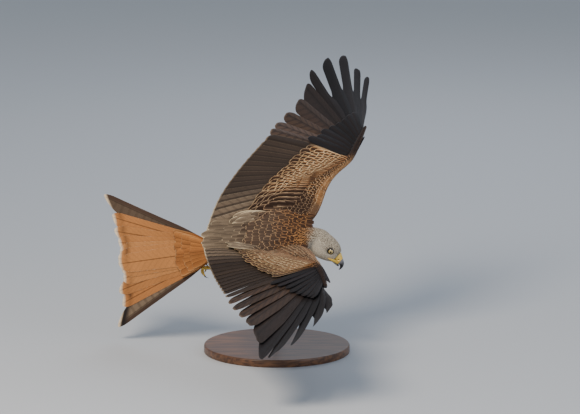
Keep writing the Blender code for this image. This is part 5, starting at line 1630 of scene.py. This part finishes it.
def hornMaterial(name, base, tip, start, end):
    # Horn: hard polished keratin, grey at the base and black at the tip, with faint growth lines
    material, node, shader = newMaterial(name,
                                         {"Roughness": 0.28, "Coat Weight": 0.15, "Coat Roughness": 0.2})
    places = node("UVMap", {"uv_map": "run"})
    parts = node("SeparateXYZ", values=(places,))
    lines = node("TexNoise", flatNoise, {"Scale": 14.0, "Detail": 3.0, "Vector": places})
    run = node("Math", add, (parts.node.outputs[1],
                             node("Math", multiply, (node("Math", subtract, (lines, 0.5)), 0.16))))
    colour = node("Mix", colourMix, (node("MapRange", smoothRange, (run, start, end)), linear(base),
                                     linear(tip)))
    relief = node("Bump", values={"Strength": 0.12, "Distance": 0.0003, "Height": lines})
    setSockets(shader, {"Base Color": colour, "Normal": relief})
    return material


def makeBillPiece(name, table, rings, sides, squareUntil, ridge, material, dent=False):
    grid = billGrid(table, rings, sides, squareUntil, ridge)
    if dent:
        # a slanting oval nostril sunk into each side
        forwardPlace, upPlace, longHalf, shortHalf = bill["nostril"]
        centre = headPoint(forwardPlace, upPlace, 0.0)
        away = grid - centre
        alongSlit = away @ unit(headForward * 0.55 + headUp * 0.83)
        acrossSlit = away @ unit(headForward * 0.83 - headUp * 0.55)
        depth = np.exp(-((alongSlit / longHalf) ** 2 + (acrossSlit / shortHalf) ** 2) ** 1.6)
        sideward = np.sign(away @ headRight) * (np.abs(away @ headRight) > 2.0)
        grid = grid - headRight * (depth * sideward * 2.6)[..., None]
    points, faces = closedLoft(grid)
    piece = newMesh(name, toWorld(points), faces)
    outwards(piece)
    v, u = np.meshgrid(np.linspace(0.0, 1.0, grid.shape[0]), np.arange(grid.shape[1]) / grid.shape[1],
                       indexing="ij")
    addMap(piece.data, "run", np.concatenate((np.stack((u, v), axis=-1).reshape(-1, 2),
                                              [(0.5, 0.0), (0.5, 1.0)])))
    if dent:
        # the dent's depth is kept as the mask for the painted shade in the nostril
        shade = np.concatenate((depth.ravel(), (0.0, 0.0)))[:, None]
        addColour(piece.data, "pit", np.concatenate((np.repeat(shade, 3, axis=1), np.ones_like(shade)),
                                                    axis=1))
    ridePiece(piece, material)
    return piece


def makeCereMaterial():
    # Cere: soft waxy yellow skin, a little translucent, with fine pores, and the nostril hollow coloured
    # near black as painted shade
    material, node, shader = newMaterial("waxyCereSkin", {
        "Roughness": 0.42, "Subsurface Weight": 0.12, "Subsurface Scale": 0.002, "Coat Weight": 0.1})
    place = node("TexCoord").node.outputs["Object"]
    pores = node("TexNoise", values={"Scale": 420.0, "Detail": 3.0, "Vector": place})
    colour = node("Mix", colourMix, (node("MapRange", smoothRange, (pores, 0.3, 0.7)), linear("e0b23c"),
                                     linear("f2cf6a")))
    pit = node("Attribute", {"attribute_name": "pit", "attribute_type": "GEOMETRY"})
    # painted shade: the nostril hollow turns near black with its depth
    nostrilShade = node("MapRange", smoothRange, (pit.node.outputs["Fac"], 0.35, 0.75))
    colour = node("Mix", colourMix, (nostrilShade, colour, linear("1c1208")))
    relief = node("Bump", values={"Strength": 0.3, "Distance": 0.0002, "Height": pores})
    setSockets(shader, {"Base Color": colour, "Normal": relief})
    return material


cereMaterial = makeCereMaterial()
upperHorn = hornMaterial("upperBillHorn", "77767a", "121214", 0.18, 0.55)
lowerHorn = hornMaterial("lowerBillHorn", "8a8478", "2a2a2c", 0.45, 0.85)
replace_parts(makeBillPiece("cere_skin", bill["cere"], 40, 64, 60.0, 0.25, cereMaterial, True),
            "cere")
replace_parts(makeBillPiece("upperBill", bill["upper"], 48, 48, 52.0, 0.35, upperHorn),
            "bill_upper")
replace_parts(makeBillPiece("lowerBill", bill["lower"], 28, 40, 60.0, 0.0, lowerHorn),
            "bill_lower")

gape = {"marks": ((50.0, -12.4, 6.8), (44.0, -11.6, 9.6), (37.0, -11.2, 13.6), (29.0, -11.8, 19.4),
                  (20.5, -12.4, 23.5)),
        "radii": (1.2, 2.9, 3.4, 2.4, 0.7), "flat": 0.36}


def makeGape(name, side):
    # the fleshy yellow edge of the mouth, a thin tube from the bill back under the eye
    marks = np.array([headPoint(f, u, r * side) for f, u, r in gape["marks"]])
    share = np.linspace(0.0, 1.0, 40)
    radii = readLine(np.array(gape["radii"])[:, None], share * 4.0)[:, 0]
    path = readLine(marks, share * 4.0)
    tube = tubeGrid(path, radii, 16, headUp)
    outward = ((tube - path[:, None]) @ headRight)[..., None] * headRight
    points, faces = closedLoft(tube - outward * (1.0 - gape["flat"]))
    piece = newMesh(name, toWorld(points), faces)
    outwards(piece)
    ridePiece(piece, gapeMaterial)


# Gape: the same waxy skin without the pits
gapeMaterial = newMaterial("waxyGapeSkin", {"Roughness": 0.4, "Subsurface Weight": 0.1,
                                            "Subsurface Scale": 0.002,
                                                 "Base Color": linear("e8c04a")})[0]
makeGape("leftGape", -1.0)
makeGape("rightGape", 1.0)
print("head made")


# Feet: the solids' own shapes, with scaled yellow skin and black claws


def scaledSkin():
    # Scutes: plates of keratin about 2 mm across with darker skin between them
    material, node, shader = newMaterial("scutedLegSkin", {"Roughness": 0.45})
    place = node("TexCoord").node.outputs["Object"]
    cells = node("TexVoronoi", {"feature": "DISTANCE_TO_EDGE"}, {"Scale": 480.0, "Vector": place})
    groove = node("MapRange", smoothRange, (cells, 0.0, 0.12))
    colour = node("Mix", colourMix, (groove, linear("8a6a24"), linear("e3bb48")))
    relief = node("Bump", values={"Strength": 0.7, "Distance": 0.0004, "Height": groove})
    setSockets(shader, {"Base Color": colour, "Normal": relief})
    return material


def clawHorn():
    # Claw horn: black, polished along the curve, with fine scratches
    material, node, shader = newMaterial("blackClawHorn", {"Roughness": 0.25, "Coat Weight": 0.2})
    place = node("TexCoord").node.outputs["Object"]
    scratch = node("TexNoise", values={"Scale": 600.0, "Detail": 4.0, "Vector": place})
    colour = node("Mix", colourMix, (node("MapRange", smoothRange, (scratch, 0.35, 0.7)), linear("0f0f11"),
                                     linear("2a2829")))
    setSockets(shader, {"Base Color": colour})
    return material


def dress(node, material):
    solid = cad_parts[node]
    if solid.data.materials:
        solid.material_slots[0].material = material
    else:
        solid.data.materials.append(material)


footSkin, clawBlack = scaledSkin(), clawHorn()
for side in ("left", "right"):
    dress("foot_" + side, footSkin)
    for toe in ("inner", "middle", "outer", "hind"):
        dress("claw_" + side + "_" + toe, clawBlack)


# Stand: a turned wooden base and a steel rod

stand = {
    "base": 190.0,
    "thick": 20.0,
    "edge": 4.0,
    "rod": 5.0,
    "sides": 192,
}


def turned(name, profile, sides):
    # a profile of radius and height carried round the upright axis
    turn = np.linspace(0.0, 2.0 * math.pi, sides, endpoint=False)[None, :]
    radius, height = profile[:, :1], profile[:, 1:]
    grid = np.stack(np.broadcast_arrays(radius * np.cos(turn), radius * np.sin(turn), height + 0.0 * turn),
                    axis=-1)
    points, faces = closedLoft(grid / 1000.0)
    piece = newMesh(name, points, faces)
    outwards(piece)
    piece.data.attributes.new("sharp_edge", "BOOLEAN", "EDGE")
    return piece


def makeStand():
    high, edge, radius = stand["thick"], stand["edge"], stand["base"]
    corner = np.linspace(0.0, math.pi / 2.0, 9)
    rim = np.stack((radius - edge + edge * np.cos(corner), high - edge + edge * np.sin(corner)), axis=1)
    foot = np.array(((radius - 2.0, 0.0), (radius - 0.6, 0.4), (radius, 1.6)))
    profile = np.concatenate((foot, rim, ((radius - edge - 1.0, high), (40.0, high), (7.0, high))))
    base = turned("standBase", profile, stand["sides"])
    # Walnut: brown open-grained wood under satin oil; rings about 3 mm apart show as long lines
    material, node, shader = newMaterial("oiledWalnut",
                                         {"Roughness": 0.42, "Coat Weight": 0.12, "Coat Roughness": 0.3})
    place = node("TexCoord").node.outputs["Object"]
    turnedPlace = node("Mapping", values={"Rotation": (0.0, 0.06, 0.5), "Scale": (1.0, 14.0, 14.0),
                                          "Vector": place})
    wave = node("TexNoise", values={"Scale": 9.0, "Detail": 6.0, "Distortion": 0.8, "Vector": turnedPlace})
    pores = node("TexNoise", values={"Scale": 90.0, "Detail": 2.0, "Vector": turnedPlace})
    colour = node("Mix", colourMix, (node("MapRange", smoothRange, (wave, 0.35, 0.65)), linear("4a3021"),
                                     linear("7a5336")))
    colour = node("Mix", colourMix, (node("MapRange", smoothRange, (pores, 0.6, 0.72, 0.0, 0.6)), colour,
                                     linear("2c1b12")))
    relief = node("Bump", values={"Strength": 0.15, "Distance": 0.0003, "Height": pores})
    setSockets(shader, {"Base Color": colour, "Normal": relief})
    ridePiece(base, material)
    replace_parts(base, "stand_base")
    low, top = (corner[2] * 1000.0 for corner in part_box("stand_rod"))
    rod = turned("standRod",
                 np.array(((stand["rod"] - 0.4, low), (stand["rod"], low + 0.4), (stand["rod"], low + 60.0),
                           (stand["rod"], top - 0.4), (stand["rod"] - 0.4, top))), 64)
    # Stainless steel: drawn and brushed round, so it shows soft streaks along its length
    steel, node, shader = newMaterial("brushedSteel",
                                      {"Roughness": 0.3, "Metallic": 1.0, "Base Color": linear("b9bbbd")})
    place = node("TexCoord").node.outputs["Object"]
    brushed = node("Mapping", values={"Scale": (400.0, 400.0, 12.0), "Vector": place})
    lines = node("TexNoise", values={"Scale": 4.0, "Vector": brushed})
    relief = node("Bump", values={"Strength": 0.2, "Distance": 0.0001, "Height": lines})
    setSockets(shader, {"Normal": relief})
    ridePiece(rod, steel)
    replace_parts(rod, "stand_rod")


makeStand()
print("stand made")


# Floor, light and camera

studio = {
    "floor": "c9cdd2",
    "floorHalf": 6.0,
    "key": ((-1.6, -2.6, 3.4), 1.8, 165.0, "fff1df"),
    "fill": ((3.2, -2.4, 1.6), 3.0, 45.0, "e3edff"),
    "rim": ((0.6, 3.0, 2.6), 2.4, 26.0, "eef3ff"),
    "sky": ("cfdbe8", 0.5),
    "lens": 477.5,
}


def makeStudio():
    half = studio["floorHalf"]
    corners = np.array(((-half, -half, 0.0), (half, -half, 0.0), (half, half, 0.0), (-half, half, 0.0)))
    floor = newMesh("floor", corners, np.array(((0, 1, 2, 3),)), smooth=False)
    # Painted floor: matt emulsion, even and pale
    paint = newMaterial("palePaintedFloor", {"Roughness": 0.9, "Base Color": linear(studio["floor"])})[0]
    floor.data.materials.append(paint)
    aim = np.array((0.0, 0.0, 0.4))
    for name in ("key", "fill", "rim"):
        place, size, power, colour = studio[name]
        light = bpy.data.lights.new(name, "AREA")
        light.shape, light.size, light.energy = "DISK", size, power
        light.color = linear(colour)[:3]
        lamp = bpy.data.objects.new(name, light)
        lamp.location = place
        lamp.rotation_euler = Vector(aim - np.array(place)).to_track_quat("-Z", "Y").to_euler()
        bpy.context.scene.collection.objects.link(lamp)
    world = bpy.data.worlds.new("softSky")
    world.use_nodes = True
    back = world.node_tree.nodes["Background"]
    back.inputs["Color"].default_value = linear(studio["sky"][0])
    back.inputs["Strength"].default_value = studio["sky"][1]
    bpy.context.scene.world = world
    camera = bpy.data.cameras.new("photoCamera")
    camera.lens, camera.sensor_width = studio["lens"], 36.0
    camera.clip_end = 100.0
    viewer = bpy.data.objects.new("photoCamera", camera)
    viewer.location = toWorld(np.array((0.0, 0.0, photo["eyeDistance"])))
    viewer.rotation_euler = (math.pi / 2.0 - photo["elevation"], 0.0, 0.0)
    bpy.context.scene.collection.objects.link(viewer)
    bpy.context.scene.camera = viewer


makeStudio()
print("studio made")
